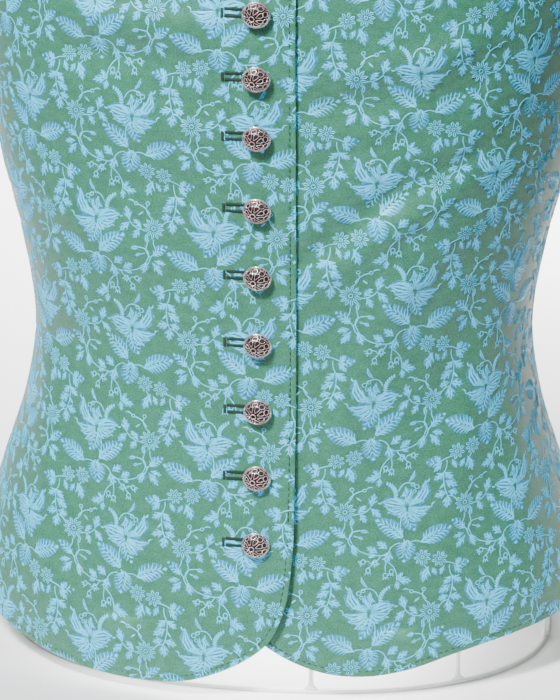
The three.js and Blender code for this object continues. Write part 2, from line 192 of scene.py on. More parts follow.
def up_at_side(half_width):
    """Length up the cloth to where the body above the armpit is this wide."""
    ups = np.linspace(ARMPIT, UPS[-1], WIDTH_STEPS)
    sides = read_rows(UPS, BODY[:, 1], ups)
    return float(np.interp(-half_width, -sides, ups))


def section(half, up):
    """Points of a quarter of the level section at each height, and the way round to them."""
    up = np.atleast_1d(np.asarray(up, float))
    side = read_rows(UPS, BODY[:, 1], up)[:, None]
    depth = read_rows(UPS, BODY[:, DEPTH_COLUMN[half]], up)[:, None]
    z = read_rows(UPS, BODY[:, 0], up)
    rounding = smooth(*NECK_ROUNDS, z)[:, None]
    power = 2 / (SQUARENESS["body"] + (SQUARENESS["neck"] - SQUARENESS["body"]) * rounding)
    angle = np.linspace(0, math.pi / 2, QUARTER_STEPS + 1)[None, :]
    x = side * np.sin(angle) ** power
    y = depth * np.abs(np.cos(angle)) ** power
    chords = np.hypot(np.diff(x, axis=1), np.diff(y, axis=1))
    along = np.concatenate([np.zeros((len(up), 1)), np.cumsum(chords, axis=1)], axis=1)
    return x, y, along, z


def quarter_at(half, up):
    """Length round a quarter of the body."""
    return section(half, up)[2][:, -1]


def around_at(half, up, x_wanted):
    """Length round from the centre line to a place this far from it, seen from the front."""
    x, _, along, _ = section(half, up)
    wanted = np.atleast_1d(x_wanted)
    return np.array([np.interp(want, xs, ways) for want, xs, ways in zip(wanted, x, along)])


def body_point(half, side, around, up):
    """Points of the body, which go on round the side seam where around runs past it."""
    x, y, along, z = section(half, up)
    quarter = along[:, -1]
    distance = np.abs(around)
    past = distance > quarter
    distance = np.where(past, 2 * quarter - distance, distance)
    i = np.clip((along < distance[:, None]).sum(axis=1), 1, QUARTER_STEPS)
    rows = np.arange(len(i))
    part = (distance - along[rows, i - 1]) / (along[rows, i] - along[rows, i - 1])
    px = x[rows, i - 1] + (x[rows, i] - x[rows, i - 1]) * part
    py = y[rows, i - 1] + (y[rows, i] - y[rows, i - 1]) * part
    px = px * side * np.where(around < 0, -1, 1)
    py = py * np.where(past, -1, 1) * (-1 if half == "front" else 1)
    return np.stack([px, py, z], axis=1)


def body_normal(half, side, around, up):
    """Outward directions of the body."""
    reach = NORMAL_REACH
    turned = (1 if half == "front" else -1) * side
    across, rise = (
        body_point(half, side, around + da, up + du) - body_point(half, side, around - da, up - du)
        for da, du in ((reach, 0), (0, reach))
    )
    normal = np.cross(across, rise) * turned
    return normal / np.linalg.norm(normal, axis=1, keepdims=True)


def off_body(half, side, around, up, out):
    """Points moved out from the body along its normal, in millimetres."""
    around, up = np.broadcast_arrays(np.asarray(around, float), np.asarray(up, float))
    shape = around.shape
    around, up = around.ravel(), up.ravel()
    out = np.broadcast_to(out, shape).ravel()[:, None]
    points = body_point(half, side, around, up) + body_normal(half, side, around, up) * out
    return points.reshape(shape + (3,))


# The frame's solids stand over the middle of their box: the foot ring gives the shift.
FRAME_SHIFT = (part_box("form_foot_ring")[0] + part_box("form_foot_ring")[1]) / 2


def to_metres(points):
    """Millimetres of the tables as metres of the scene."""
    return np.asarray(points) * MM + np.array([FRAME_SHIFT.x, FRAME_SHIFT.y, 0])


def fold_rise(folds, across, up):
    """How far a table's ridges and troughs lift the cloth."""
    total = np.zeros(np.broadcast(across, up).shape)
    for centre, level, half_length, half_width, lean, rise in folds:
        c, s = math.cos(math.radians(lean)), math.sin(math.radians(lean))
        along = ((across - centre) * c + (up - level) * s) / half_length
        beside = ((up - level) * c - (across - centre) * s) / half_width
        total = total + rise * np.exp(-(beside**2) - along**4)
    return total


def lap_lift(around, up):
    """How far the buttoned front lies further out, and its loose lower edge more so."""
    lap = LAP_LIFT * (1 - smooth(*LAP_FADE, around))
    edge = 1 - smooth(-LAP, FREE_EDGE["reach"] - LAP, around)
    return lap + FREE_EDGE["lift"] * edge * (1 - smooth(FREE_EDGE["to"], FREE_EDGE["from"], up))


def curve_through(points):
    """A centripetal Catmull-Rom curve, read by its share of the length."""
    points = np.array([tuple(map(float, p)) for p in points])
    ends = np.vstack([2 * points[0] - points[1], points, 2 * points[-1] - points[-2]])
    samples = [points[:1]]
    weights = curve_weights(np.linspace(0, 1, CURVE_STEPS + 1)[1:, None])
    for p0, p1, p2, p3 in zip(ends, ends[1:], ends[2:], ends[3:]):
        d0, d1, d2 = (math.sqrt(np.linalg.norm(b - a)) for a, b in ((p0, p1), (p1, p2), (p2, p3)))
        t1 = ((p1 - p0) / d0 - (p2 - p0) / (d0 + d1) + (p2 - p1) / d1) * d1
        t2 = ((p2 - p1) / d1 - (p3 - p1) / (d1 + d2) + (p3 - p2) / d2) * d1
        samples.append(weights[0] * p1 + weights[2] * t1 + weights[1] * p2 + weights[3] * t2)
    line = np.vstack(samples)
    way = np.concatenate([[0], np.cumsum(np.linalg.norm(np.diff(line, axis=0), axis=1))])
    way = way / way[-1]
    return lambda share: np.stack([np.interp(share, way, line[:, k]) for k in (0, 1)], axis=-1)


def seam_line(half, up):
    """The side seam's edge at each height."""
    up = np.asarray(up, float)
    return np.stack([quarter_at(half, up.ravel()).reshape(up.shape) - SEAM_GAP / 2, up], axis=-1)


def either(share, border, below, above):
    """One curve below a share of the way and another above it."""
    low = below(np.clip(share / border, 0, 1))
    high = above(np.clip((share - border) / (1 - border), 0, 1))
    return np.where((share < border)[..., None], low, high)


def seen_points(half, outline):
    """Outline points given as seen from the front or back, laid on the cloth."""
    laid = []
    for x, z in outline:
        up = float(up_at_height(z))
        laid.append((x if x < 0 else float(around_at(half, up, x)[0]), up))
    return laid


def upright(around, low, high):
    """A straight upright edge between two heights."""
    return lambda f: np.stack([np.full_like(f, around), low + (high - low) * f], axis=-1)


def far_edge(half, hem_height, armhole):
    """The side seam and, above it, the armhole."""
    end = up_at_side(SHOULDER_END_X)
    hole = curve_through([
        tuple(seam_line(half, ARMPIT)), *seen_points(half, armhole), tuple(seam_line(half, end)),
    ])
    return lambda w: either(
        w, SEAM_SHARE, lambda f: seam_line(half, hem_height + (ARMPIT - hem_height) * f), hole
    )


def shoulder_edge(half):
    """The shoulder seam, from the neck outwards."""
    neck, end = up_at_side(NECK_POINT_X), up_at_side(SHOULDER_END_X)
    return lambda u: seam_line(half, neck + (end - neck) * u)


def front_edges(hem_points, hem_side):
    """The four edges of a front, each read by its share of the way."""
    hem = curve_through([*hem_points, tuple(seam_line("front", hem_side))])
    neckline = curve_through([
        (-LAP, BREAK_POINT), *seen_points("front", FRONT_NECK),
        tuple(seam_line("front", up_at_side(NECK_POINT_X))),
    ])
    straight = upright(-LAP, hem_points[0][1], BREAK_POINT)
    return {
        "hem": lambda u: hem(u**HEM_CROWDING),
        "top": shoulder_edge("front"),
        "centre": lambda w: either(w, SEAM_SHARE, straight, neckline),
        "far": far_edge("front", hem_side, FRONT_ARMHOLE),
        "free_centre": (0, 1),
    }


def back_edges(hem_side):
    """The four edges of a back."""
    hem = curve_through([
        (SEAM_GAP / 2, BACK_HEM), (70, BACK_HEM), (150, (BACK_HEM + hem_side) / 2),
        tuple(seam_line("back", hem_side)),
    ])
    neck_back = float(up_at_height(BACK_NECK))
    neckline = curve_through([
        (SEAM_GAP / 2, neck_back), *seen_points("back", BACK_NECK_CURVE),
        tuple(seam_line("back", up_at_side(NECK_POINT_X))),
    ])
    straight = upright(SEAM_GAP / 2, BACK_HEM, neck_back)
    return {
        "hem": hem,
        "top": shoulder_edge("back"),
        "centre": lambda w: either(w, BACK_SEAM_SHARE, straight, neckline),
        "far": far_edge("back", hem_side, BACK_ARMHOLE),
        "free_centre": (BACK_SEAM_SHARE, 1),
    }


def blend_edges(edges, u, w):
    """The cut piece between its four edges (a Coons patch), as around and up."""
    h, t, c, f = edges["hem"](u), edges["top"](u), edges["centre"](w), edges["far"](w)
    ends = (np.zeros(1), np.ones(1))
    h0, h1, t0, t1 = (edges[name](end)[0] for name in ("hem", "top") for end in ends)
    uu, ww = u[:, None], w[:, None]
    corners = (h0 * (1 - uu) + h1 * uu) * (1 - ww) + (t0 * (1 - uu) + t1 * uu) * ww
    return h * (1 - ww) + t * ww + c * (1 - uu) + f * uu - corners


PIECES = {
    "front_right": {
        "half": "front", "side": -1, "edges": front_edges(RIGHT_HEM, SIDE_HEM["right"])},
    "front_left": {"half": "front", "side": 1, "edges": front_edges(LEFT_HEM, SIDE_HEM["left"])},
    "back_right": {"half": "back", "side": -1, "edges": back_edges(SIDE_HEM["right"])},
    "back_left": {"half": "back", "side": 1, "edges": back_edges(SIDE_HEM["left"])},
}

# Where the woven pattern's bloom falls on each piece, as (across, up).
PATTERN_START = {
    "front_right": (-24, 277), "front_left": (67, 305),
    "back_right": (-30, 290), "back_left": (37, 290),
}
# The cloth is not cut quite on its straight grain: (up, across, upwards) by which the
# pattern has wandered there.
GRAIN_DRIFT = {
    "front_right": np.array([
        (56, -3.7, 0.3), (104, -2.5, -2.9), (152, -3.2, -6.6), (216, 0, -7.7), (281, 0.6, -8.0),
        (344, 3.8, -9.2),
    ]),
    "front_left": np.array([
        (56, -5.6, -0.3), (104, -5.9, -4.6), (152, -6.6, -8.0), (200, -5.1, -8.3),
        (249, -4.6, -6.1), (297, -5.0, -6.3), (344, -2.0, -8.4),
    ]),
}


def piece_out(name, around, up):
    """How far the cloth of a piece lies out from the body, inside face."""
    piece = PIECES[name]
    folds = FRONT_FOLDS if piece["half"] == "front" else BACK_FOLDS
    out = fold_rise(folds, around * piece["side"], up)
    if name == "front_right":
        out = out + lap_lift(around, up)
    return out


# ------------------------------------------------------------------ cut edges and relief

# Finer creases, each as (across, up, half length, half width, lean, rise).
FRONT_CREASES = [
    (47, 272, 34, 6, 39, -2.3), (54, 259, 36, 6, 40, 1.7), (94, 300, 36, 7, 26, -2.2),
    (98, 287, 36, 7, 28, 1.6), (60, 318, 32, 7, 22, -1.9), (68, 343, 46, 8, 6, -2.2),
    (58, 194, 60, 13, 68, 2.8), (92, 254, 36, 12, 48, 2.2), (108, 190, 44, 12, 66, -1.8),
    (110, 72, 48, 13, 78, -2.4), (33, 256, 12, 6, 30, -0.8), (84, 366, 42, 7, 12, 2.2),
    (-64, 385, 46, 8, 0, 2.3), (-72, 363, 42, 8, 2, -2.2), (-40, 340, 20, 6, -5, -0.8),
    (-58, 290, 26, 7, 4, -1.4), (-96, 262, 38, 11, -24, 2.0), (-40, 214, 22, 6, 10, 0.7),
    (-50, 168, 24, 6, -8, -1.0), (-32, 128, 18, 5, 12, 0.5), (-108, 190, 36, 9, 20, -1.8),
    (-60, 62, 40, 8, 96, 1.6), (-104, 72, 36, 9, 84, -1.8), (32, 150, 34, 6, 82, -1.1),
    (66, 62, 32, 8, 80, 1.4), (-4, 74, 14, 5, 60, 0.4),
]
BACK_CREASES = [
    (30, 240, 36, 6, 20, 1.3), (-36, 262, 42, 7, -24, 1.3), (34, 212, 40, 7, 8, -1.2),
    (-44, 206, 36, 6, -6, 1.1), (112, 150, 42, 9, 70, -1.5), (-104, 140, 38, 8, 108, 1.4),
    (60, 120, 46, 9, 84, 1.4), (-52, 96, 44, 9, 96, -1.4), (44, 470, 42, 8, 30, 1.2),
    (-50, 486, 38, 8, -26, -1.2), (96, 352, 38, 7, 60, 1.1), (-110, 366, 40, 8, 116, 1.3),
    (40, 330, 38, 8, 14, 1.0), (-24, 396, 30, 8, -10, -0.8),
]
# Across an edge's stitching: the groove, and the cloth that puffs up beside it.
STITCH_GROOVE = {"inset": 3, "half_wide": 0.75, "rise": -0.34}
STITCH_PUFF = {"inset": 1.3, "half_wide": 0.9, "rise": 0.22}
SEAM_SINK = {"inset": 0, "half_wide": 1.5, "rise": -0.4}
UNDER_LAP = (17, 25)


def outline(name, count=90):
    """The cut edge of a piece once round, and which parts of it are free, not sewn to another."""
    edges = PIECES[name]["edges"]
    way = np.linspace(0, 1, count, endpoint=False)
    low, high = edges["free_centre"]
    parts = [
        (edges["hem"](way), way >= 0), (edges["far"](way), way > SEAM_SHARE),
        (edges["top"](1 - way), way < 0),
        (edges["centre"](1 - way), (1 - way > low) & (1 - way <= high)),
    ]
    return np.vstack([line for line, _ in parts]), np.concatenate([free for _, free in parts])


def nearest_on(points, starts, ends):
    """The nearest place on a set of straight pieces, and its distance."""
    best = np.full(len(points), np.inf)
    found = np.array(points, dtype=float)
    for a, b in zip(starts, ends):
        line = b - a
        part = np.clip((points - a) @ line / max(line @ line, 1e-12), 0, 1)[:, None]
        spot = a + part * line
        distance = np.hypot(*(points - spot).T)
        closer = distance < best
        best = np.where(closer, distance, best)
        found = np.where(closer[:, None], spot, found)
    return found, best


def inside_loop(points, loop):
    """Which points lie inside a closed outline."""
    x, y = points[:, 0], points[:, 1]
    inside = np.zeros(len(points), bool)
    for (ax, ay), (bx, by) in zip(loop, np.roll(loop, -1, axis=0)):
        if ay != by:
            crosses = (ay > y) != (by > y)
            inside ^= crosses & (x < (bx - ax) * (y - ay) / (by - ay) + ax)
    return inside


def edge_rise(shape, distance):
    """How far a groove or puff beside an edge lifts the cloth at a distance from it."""
    return shape["rise"] * np.exp(-(((distance - shape["inset"]) / shape["half_wide"]) ** 2))


def relief(name, around, up):
    """Small shapes of the outer face: fine creases, stitched grooves and sunk seams."""
    piece = PIECES[name]
    creases = FRONT_CREASES if piece["half"] == "front" else BACK_CREASES
    height = fold_rise(creases, around * piece["side"], up)
    loop, free = outline(name)
    ends = np.roll(loop, -1, axis=0)
    points = np.stack([around, up], axis=1)
    edge = nearest_on(points, loop[free], ends[free])[1]
    seam = nearest_on(points, loop[~free], ends[~free])[1]
    height = height + edge_rise(STITCH_GROOVE, edge) + edge_rise(STITCH_PUFF, edge)
    height = height + edge_rise(SEAM_SINK, seam)
    if name == "front_left":
        height = height * smooth(*UNDER_LAP, around)  # flat under the lap
    return height


def on_piece(name, around, up, above=0.0):
    """Points on the outer face of a piece, or above it, in metres."""
    piece = PIECES[name]
    out = piece_out(name, around, up) + CLOTH + relief(name, around, up) + above
    return to_metres(off_body(piece["half"], piece["side"], around, up, out))


# ------------------------------------------------------------------ small helpers


def new_piece(name, bm, materials):
    """Turns a bmesh into a piece of the object, at the origin, riding on its body."""
    mesh = bpy.data.meshes.new(name)
    bm.to_mesh(mesh)
    bm.free()
    for material in materials:
        mesh.materials.append(material)
    mesh.polygons.foreach_set("use_smooth", [True] * len(mesh.polygons))
    piece = bpy.data.objects.new(name, mesh)
    bpy.context.collection.objects.link(piece)
    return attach(piece, BODY_NAME)


def places_of(bm):
    """Where the vertices are."""
    return np.array([tuple(vertex.co) for vertex in bm.verts])


def move_to(vertices, places):
    """Puts each vertex at its place."""
    for vertex, place in zip(vertices, places):
        vertex.co = place


def crowd(share, amount):
    """Moves even shares of a way towards both of its ends."""
    return share - amount * np.sin(2 * math.pi * share) / (2 * math.pi)


# ------------------------------------------------------------------ materials


def linear(colour):
    """An sRGB hex colour as the linear values that a shader takes."""
    parts = [int(colour[i : i + 2], 16) / 255 for i in (1, 3, 5)]
    return [c / 12.92 if c <= 0.04045 else ((c + 0.055) / 1.055) ** 2.4 for c in parts] + [1]


def add_node(tree, kind, inputs=(), out=0, **settings):
    """Adds a node with its settings and links, and gives one of its outputs."""
    node = tree.nodes.new(kind)
    for name, value in settings.items():
        setattr(node, name, value)
    for key, value in dict(inputs).items():
        if isinstance(value, bpy.types.NodeSocket):
            tree.links.new(value, node.inputs[key])
        else:
            node.inputs[key].default_value = value
    return node.outputs[out]


def new_material(name):
    """An empty material with its node tree."""
    material = bpy.data.materials.new(name)
    material.use_nodes = True
    material.node_tree.nodes.clear()
    return material, material.node_tree


def set_surface(tree, shader):
    """Ends a material with its shader."""
    tree.links.new(shader, tree.nodes.new("ShaderNodeOutputMaterial").inputs["Surface"])


def brocade_ground(colours):
    """Cotton satin, woven: the ground of the brocade. Its long threads give it a broad soft
    sheen and a fine grain that runs across; the threads are drawn coarser than they are."""
    material, tree = new_material("cotton_satin_woven")
    grain = add_node(tree, "ShaderNodeUVMap", uv_map="cloth_grain")
    threads = add_node(tree, "ShaderNodeTexNoise", {
        "Vector": add_node(tree, "ShaderNodeMapping", {"Vector": grain, "Scale": (900, 2100, 1)}),
        "Scale": 1.0, "Detail": 2.0, "Roughness": 0.6})
    slubs = add_node(tree, "ShaderNodeTexNoise", {
        "Vector": add_node(tree, "ShaderNodeMapping", {"Vector": grain, "Scale": (160, 240, 1)}),
        "Scale": 1.0, "Detail": 3.0, "Roughness": 0.6})
    spread = add_node(tree, "ShaderNodeMapRange", {0: threads, 1: 0.3, 2: 0.7})
    patches = add_node(tree, "ShaderNodeMapRange", {0: slubs, 1: 0.32, 2: 0.68, 3: -0.18, 4: 0.18})
    blend = add_node(
        tree, "ShaderNodeMath", {0: spread, 1: patches}, operation="ADD", use_clamp=True)
    colour = add_node(tree, "ShaderNodeMix", {
        0: blend, 6: linear(colours.ground_deep), 7: linear(colours.ground)},
        out=2, data_type="RGBA")
    bump = add_node(tree, "ShaderNodeBump", {
        "Strength": 0.25, "Distance": 0.0001, "Height": threads})
    shader = add_node(tree, "ShaderNodeBsdfPrincipled", {
        "Base Color": colour, "Roughness": 0.47, "Normal": bump, "IOR": 1.5, "Sheen Weight": 0.18,
        "Sheen Roughness": 0.45})
    set_surface(tree, shader)
    return material


def brocade_float(colours):
    """Cotton thread, woven as floats: the pale blue flowers. Lying loose on the ground they
    are a little smoother than it. Their colour is painted light: a painted highlight along
    each float's middle and painted shade towards its edges."""
    material, tree = new_material("cotton_float_woven")
    way = add_node(tree, "ShaderNodeUVMap", uv_map="float_way")
    across = add_node(tree, "ShaderNodeSeparateXYZ", {0: way}, out=1)
    beside = add_node(tree, "ShaderNodeMath", {0: across, 1: 0.5}, operation="SUBTRACT")
    edgeways = add_node(tree, "ShaderNodeMapRange", {0: beside, 1: -0.5, 2: 0.5, 3: -1.0, 4: 1.0})
    from_middle = add_node(tree, "ShaderNodeMath", {0: edgeways}, operation="ABSOLUTE")
    # Painted shade: each float's colour darkens towards its edges, and stays pale along its middle
    # as a painted highlight.
    painted_edge_shade = add_node(tree, "ShaderNodeMath", {0: from_middle, 1: 1.8}, operation="POWER")
    place = add_node(tree, "ShaderNodeTexCoord", out="Object")
    noise = add_node(tree, "ShaderNodeTexNoise", {"Vector": place, "Scale": 700.0, "Detail": 2.0})
    drift = add_node(tree, "ShaderNodeMapRange", {0: noise, 1: 0.3, 2: 0.7, 3: 0.88, 4: 1.28})
    share = add_node(
        tree, "ShaderNodeMath", {0: drift, 1: painted_edge_shade}, operation="SUBTRACT", use_clamp=True)
    # From the flowers' dark blue, painted shade at the edges, to the pale blue, a painted
    # highlight in the middle.
    colour = add_node(tree, "ShaderNodeMix", {
        0: share, 6: linear(colours.flower), 7: linear(colours.flower_painted_highlight)},
        out=2, data_type="RGBA")
    shader = add_node(tree, "ShaderNodeBsdfPrincipled", {
        "Base Color": colour, "Roughness": 0.4, "IOR": 1.5, "Sheen Weight": 0.1,
        "Sheen Roughness": 0.4})
    set_surface(tree, shader)
    return material


def sewing_thread(colours):
    """Cotton thread, twisted and sewn: a dull dark green with a faint twist, drawn about a
    third thicker than it is so that it shows."""
    material, tree = new_material("cotton_thread_twisted")
    place = add_node(tree, "ShaderNodeTexCoord", out="Object")
    noise = add_node(tree, "ShaderNodeTexNoise", {"Vector": place, "Scale": 2500.0, "Detail": 1.0})
    colour = add_node(tree, "ShaderNodeMix", {
        0: noise, 6: linear(colours.thread), 7: linear(colours.thread_pale)},
        out=2, data_type="RGBA")
    shader = add_node(tree, "ShaderNodeBsdfPrincipled", {"Base Color": colour, "Roughness": 0.75})
    set_surface(tree, shader)
    return material


def cast_metal(colours):
    """Silvered zinc alloy, cast and antiqued: bright worn metal with a warm pink tint, in
    random patches duller and darker with patina."""
    material, tree = new_material("zinc_alloy_silvered_cast")
    place = add_node(tree, "ShaderNodeTexCoord", out="Object")
    noise = add_node(tree, "ShaderNodeTexNoise", {"Vector": place, "Scale": 700.0, "Detail": 3.0})
    worn = add_node(tree, "ShaderNodeMapRange", {0: noise, 1: 0.38, 2: 0.6})
    colour = add_node(tree, "ShaderNodeMix", {
        0: worn, 6: linear(colours.metal_worn), 7: linear(colours.metal)},
        out=2, data_type="RGBA")
    rough = add_node(tree, "ShaderNodeMapRange", {0: worn, 3: 0.4, 4: 0.24})
    shader = add_node(tree, "ShaderNodeBsdfPrincipled", {
        "Base Color": colour, "Metallic": 1.0, "Roughness": rough})
    set_surface(tree, shader)
    return material


def plain_material(name, colour, rough):
    """One even material, with a trace of unevenness in its gloss."""
    material, tree = new_material(name)
    place = add_node(tree, "ShaderNodeTexCoord", out="Object")
    noise = add_node(tree, "ShaderNodeTexNoise", {"Vector": place, "Scale": 60.0, "Detail": 3.0})
    gloss = add_node(tree, "ShaderNodeMapRange", {0: noise, 3: rough - 0.05, 4: rough + 0.05})
    shader = add_node(tree, "ShaderNodeBsdfPrincipled", {
        "Base Color": linear(colour), "Roughness": gloss, "Metallic": 0.0})
    set_surface(tree, shader)
    return material


# ------------------------------------------------------------------ the woven flowers

# The repeat is this wide. Each next row down is this far below, turned left to right about
# a line: a motif at x there stands at TURN_OVER minus x.
REPEAT_WIDE = 67.0
ROW_HIGH = 62.6
TURN_OVER = 20.0
FLOAT_RISE = 0.32  # of the middle of a float above the ground
FLOAT_EDGE = 0.05  # and of its edges
FLOAT_SHARE = 0.76  # of the pitch of a row of floats that one fills
BODY_RISE = 0.02  # of a leaf's flat body, beneath its floats
# A body takes the darkest colour of the floats' painted shading, so it shows as painted shade
# between them.
BODY_SHADE = 0.05  # where across the float's shading a body takes its colour
NARROWEST = 0.1  # share of its full width that a float's end keeps
TOOTH_FROM, TOOTH_SPAN = 0.2, 0.76  # part of a big leaf's length that has teeth
MIDRIB_HALF = 0.22
DAISY_FILL = 0.98

# Width of a float along its length, as a share of its widest.
OUTLINES = {
    "leaf": lambda t: (4 * t * (1 - t)) ** 0.5,
    "drop": lambda t: 1.5 * t**0.62 * (1 - t) ** 0.38,
    "tooth": lambda t: min(1, 0.72 + 0.7 * t) * (1 - t**2.6) ** 0.8,
    "stem": lambda t: 1.0,
    "blade": lambda t: 2.53 * t**0.6 * (1 - t) ** 0.75,
}


def left_of(direction):
    """A direction turned a quarter to its left, on the flat."""
    return Vector((-direction.y, direction.x))


def bowed_line(start, end, bow):
    """A line bowed to its left by a share of its length: its point and heading at a share."""
    along = end - start
    left = left_of(along)

    def point(t):
        return start + along * t + left * (bow * 4 * t * (1 - t))

    def heading(t):
        return (along + left * (bow * 4 * (1 - 2 * t))).normalized()

    return point, heading


def float_height(side):
    """Height of a float's domed face, from -1 at one edge to 1 at the other."""
    return FLOAT_EDGE + (FLOAT_RISE - FLOAT_EDGE) * (1 - side * side)


def weave_float(bm, start, end, width, bow=0.0, form="leaf", steps=4, across=2):
    """A group of threads lying over the ground."""
    point, heading = bowed_line(Vector(start), Vector(end), bow)
    grid = bmesh.ops.create_grid(
        bm, x_segments=steps, y_segments=across, size=0.5, calc_uvs=True)
    for vertex in grid["verts"]:
        t, side = vertex.co.x + 0.5, vertex.co.y * 2
        middle, ahead = point(t), heading(t)
        half = width / 2 * max(OUTLINES[form](min(max(t, 0.0), 1.0)), NARROWEST)
        vertex.co.x = middle.x - ahead.y * side * half
        vertex.co.y = middle.y + ahead.x * side * half
        vertex.co.z = float_height(side)


def weave_body(bm, start, end, width, bow=0.0, form="blade", steps=6, across=4):
    """The flat, darker body of a leaf or petal, which shows between its floats; its dark colour is
    painted shade.
    """
    before = len(bm.faces)
    weave_float(bm, start, end, width, bow, form, steps, across)
    bm.faces.ensure_lookup_table()
    way = bm.loops.layers.uv.active
    for face in bm.faces[before:]:
        for loop in face.loops:
            loop[way].uv.y = BODY_SHADE
            loop.vert.co.z = BODY_RISE


def weave_petal(bm, start, end, width, bow=0.0, veins=2, form="leaf"):
    """A petal of a few floats side by side."""
    length = math.hypot(end[0] - start[0], end[1] - start[1])
    for k in range(veins):
        offset = (k - (veins - 1) / 2) * width / veins
        weave_float(
            bm, start, end, width / veins * FLOAT_SHARE, bow + offset / length, form, 3)


def weave_lobed_leaf(bm, start, end, width, bow=0.0):
    """A small leaf: two floats with pairs of pointed lobes at their sides."""
    start, end = Vector(start), Vector(end)
    along = end - start
    beside = left_of(along).normalized()
    weave_body(bm, start, end, width * 1.1, bow, "leaf", 3, 2)
    weave_petal(bm, start, end, width * 0.66, bow, 2)
    for side in (1, -1):
        for root, top, out, wide in ((0.06, 0.56, 0.6, 0.4), (0.36, 0.84, 0.42, 0.3)):
            weave_float(
                bm, start + along * root, start + along * top + beside * side * out * width,
                width * wide * 0.8, -0.12 * side, "leaf", 2)


def weave_toothed_leaf(bm, base, tip, width, teeth, bow=0.0, slant=0.95):
    """A big leaf: slanting floats on both sides of a bare midrib, ending on a toothed edge."""
    base, tip = Vector(base), Vector(tip)
    point, heading = bowed_line(base, tip, bow)
    length = (tip - base).length
    pitch = length * TOOTH_SPAN / teeth
    weave_body(bm, base, tip, width * 0.94, bow)
    for k in range(teeth):
        end = TOOTH_FROM + TOOTH_SPAN * k / (teeth - 1)
        reach = width / 2 * OUTLINES["blade"](end)
        root_at = max(0.01, end - slant * reach / length)
        beside = left_of(heading(end))
        for side in (1, -1):
            root = point(root_at) + beside * side * MIDRIB_HALF
            top = point(end) + beside * side * reach
            weave_float(bm, root, top, pitch * FLOAT_SHARE, -0.16 * side, "tooth", 2)
    weave_float(bm, point(0.84), tip, pitch, 0, "leaf", 3)


def weave_banded_horn(bm, base, tip, width, bands, bow):
    """A curling petal of short floats laid across it."""
    base, tip = Vector(base), Vector(tip)
    point, heading = bowed_line(base, tip, bow)
    pitch = (tip - base).length / bands * (1 + 2 * abs(bow))
    for k in range(bands):
        t = (k + 0.5) / bands
        middle, ahead = point(t), heading(t)
        beside = left_of(ahead) * width / 2 * (1 - t) ** 0.25 * (0.65 + 0.5 * t)
        weave_float(
            bm, middle - beside, middle + beside + ahead * 0.7, pitch * 0.92, 0.16, "leaf", 3)


def weave_ring(bm, centre, radius, width=0.65, tall=1.0, steps=10):
    """A small ring of one float."""
    grid = bmesh.ops.create_grid(
        bm, x_segments=steps, y_segments=2, size=0.5, calc_uvs=True)
    for vertex in grid["verts"]:
        turn, side = (vertex.co.x + 0.5) * 2 * math.pi, vertex.co.y * 2
        r = radius + side * width / 2
        vertex.co.x = centre[0] + r * math.sin(turn)
        vertex.co.y = centre[1] + r * math.cos(turn) * tall
        vertex.co.z = float_height(side)


def weave_daisy(bm, centre, radius, petals=9):
    """A round flower of cleft petals round a ring."""
    for k in range(petals):
        turn = (k + 0.3) / petals * 2 * math.pi
        out = Vector((math.sin(turn), math.cos(turn)))
        wide = 2 * math.pi * radius * 0.72 / petals * DAISY_FILL
        weave_petal(
            bm, Vector(centre) + out * radius * 0.3, Vector(centre) + out * radius, wide, 0, 2,
            "drop")
    weave_ring(bm, centre, radius * 0.18, 0.7, 1.0, 8)


def weave_bell(bm, centre, lean):
    """A small bell: a ring with three pointed lips, hanging at an angle from straight down."""
    turn = math.radians(lean)
    down = Vector((math.sin(turn), -math.cos(turn)))
    across = left_of(down)
    centre = Vector(centre)
    weave_ring(bm, centre, 1.2, 0.7, 1.15, 8)
    for side in (-1, 0, 1):
        weave_float(
            bm, centre + down * 0.9 + across * side * 0.8,
            centre + down * 2.7 + across * side * 1.6, 0.95, 0, "leaf", 3)


# Big toothed leaves: base, tip, width, teeth, bow.
TOOTHED = [
    ((-8.2, -22.2), (-25.4, -14.8), 11.2, 8, -0.04), ((2.2, -18.8), (17.4, -6.8), 10.4, 8, 0.05),
    ((-0.4, -20.2), (1.6, -33.8), 11.6, 7, 0.0), ((0.3, -3.2), (-4.6, -15.0), 8.6, 6, 0.06),
    ((-28.4, -38.6), (-36.2, -37.4), 6.2, 4, 0.0), ((34.0, -17.2), (42.0, -10.8), 6.0, 5, 0.06),
]
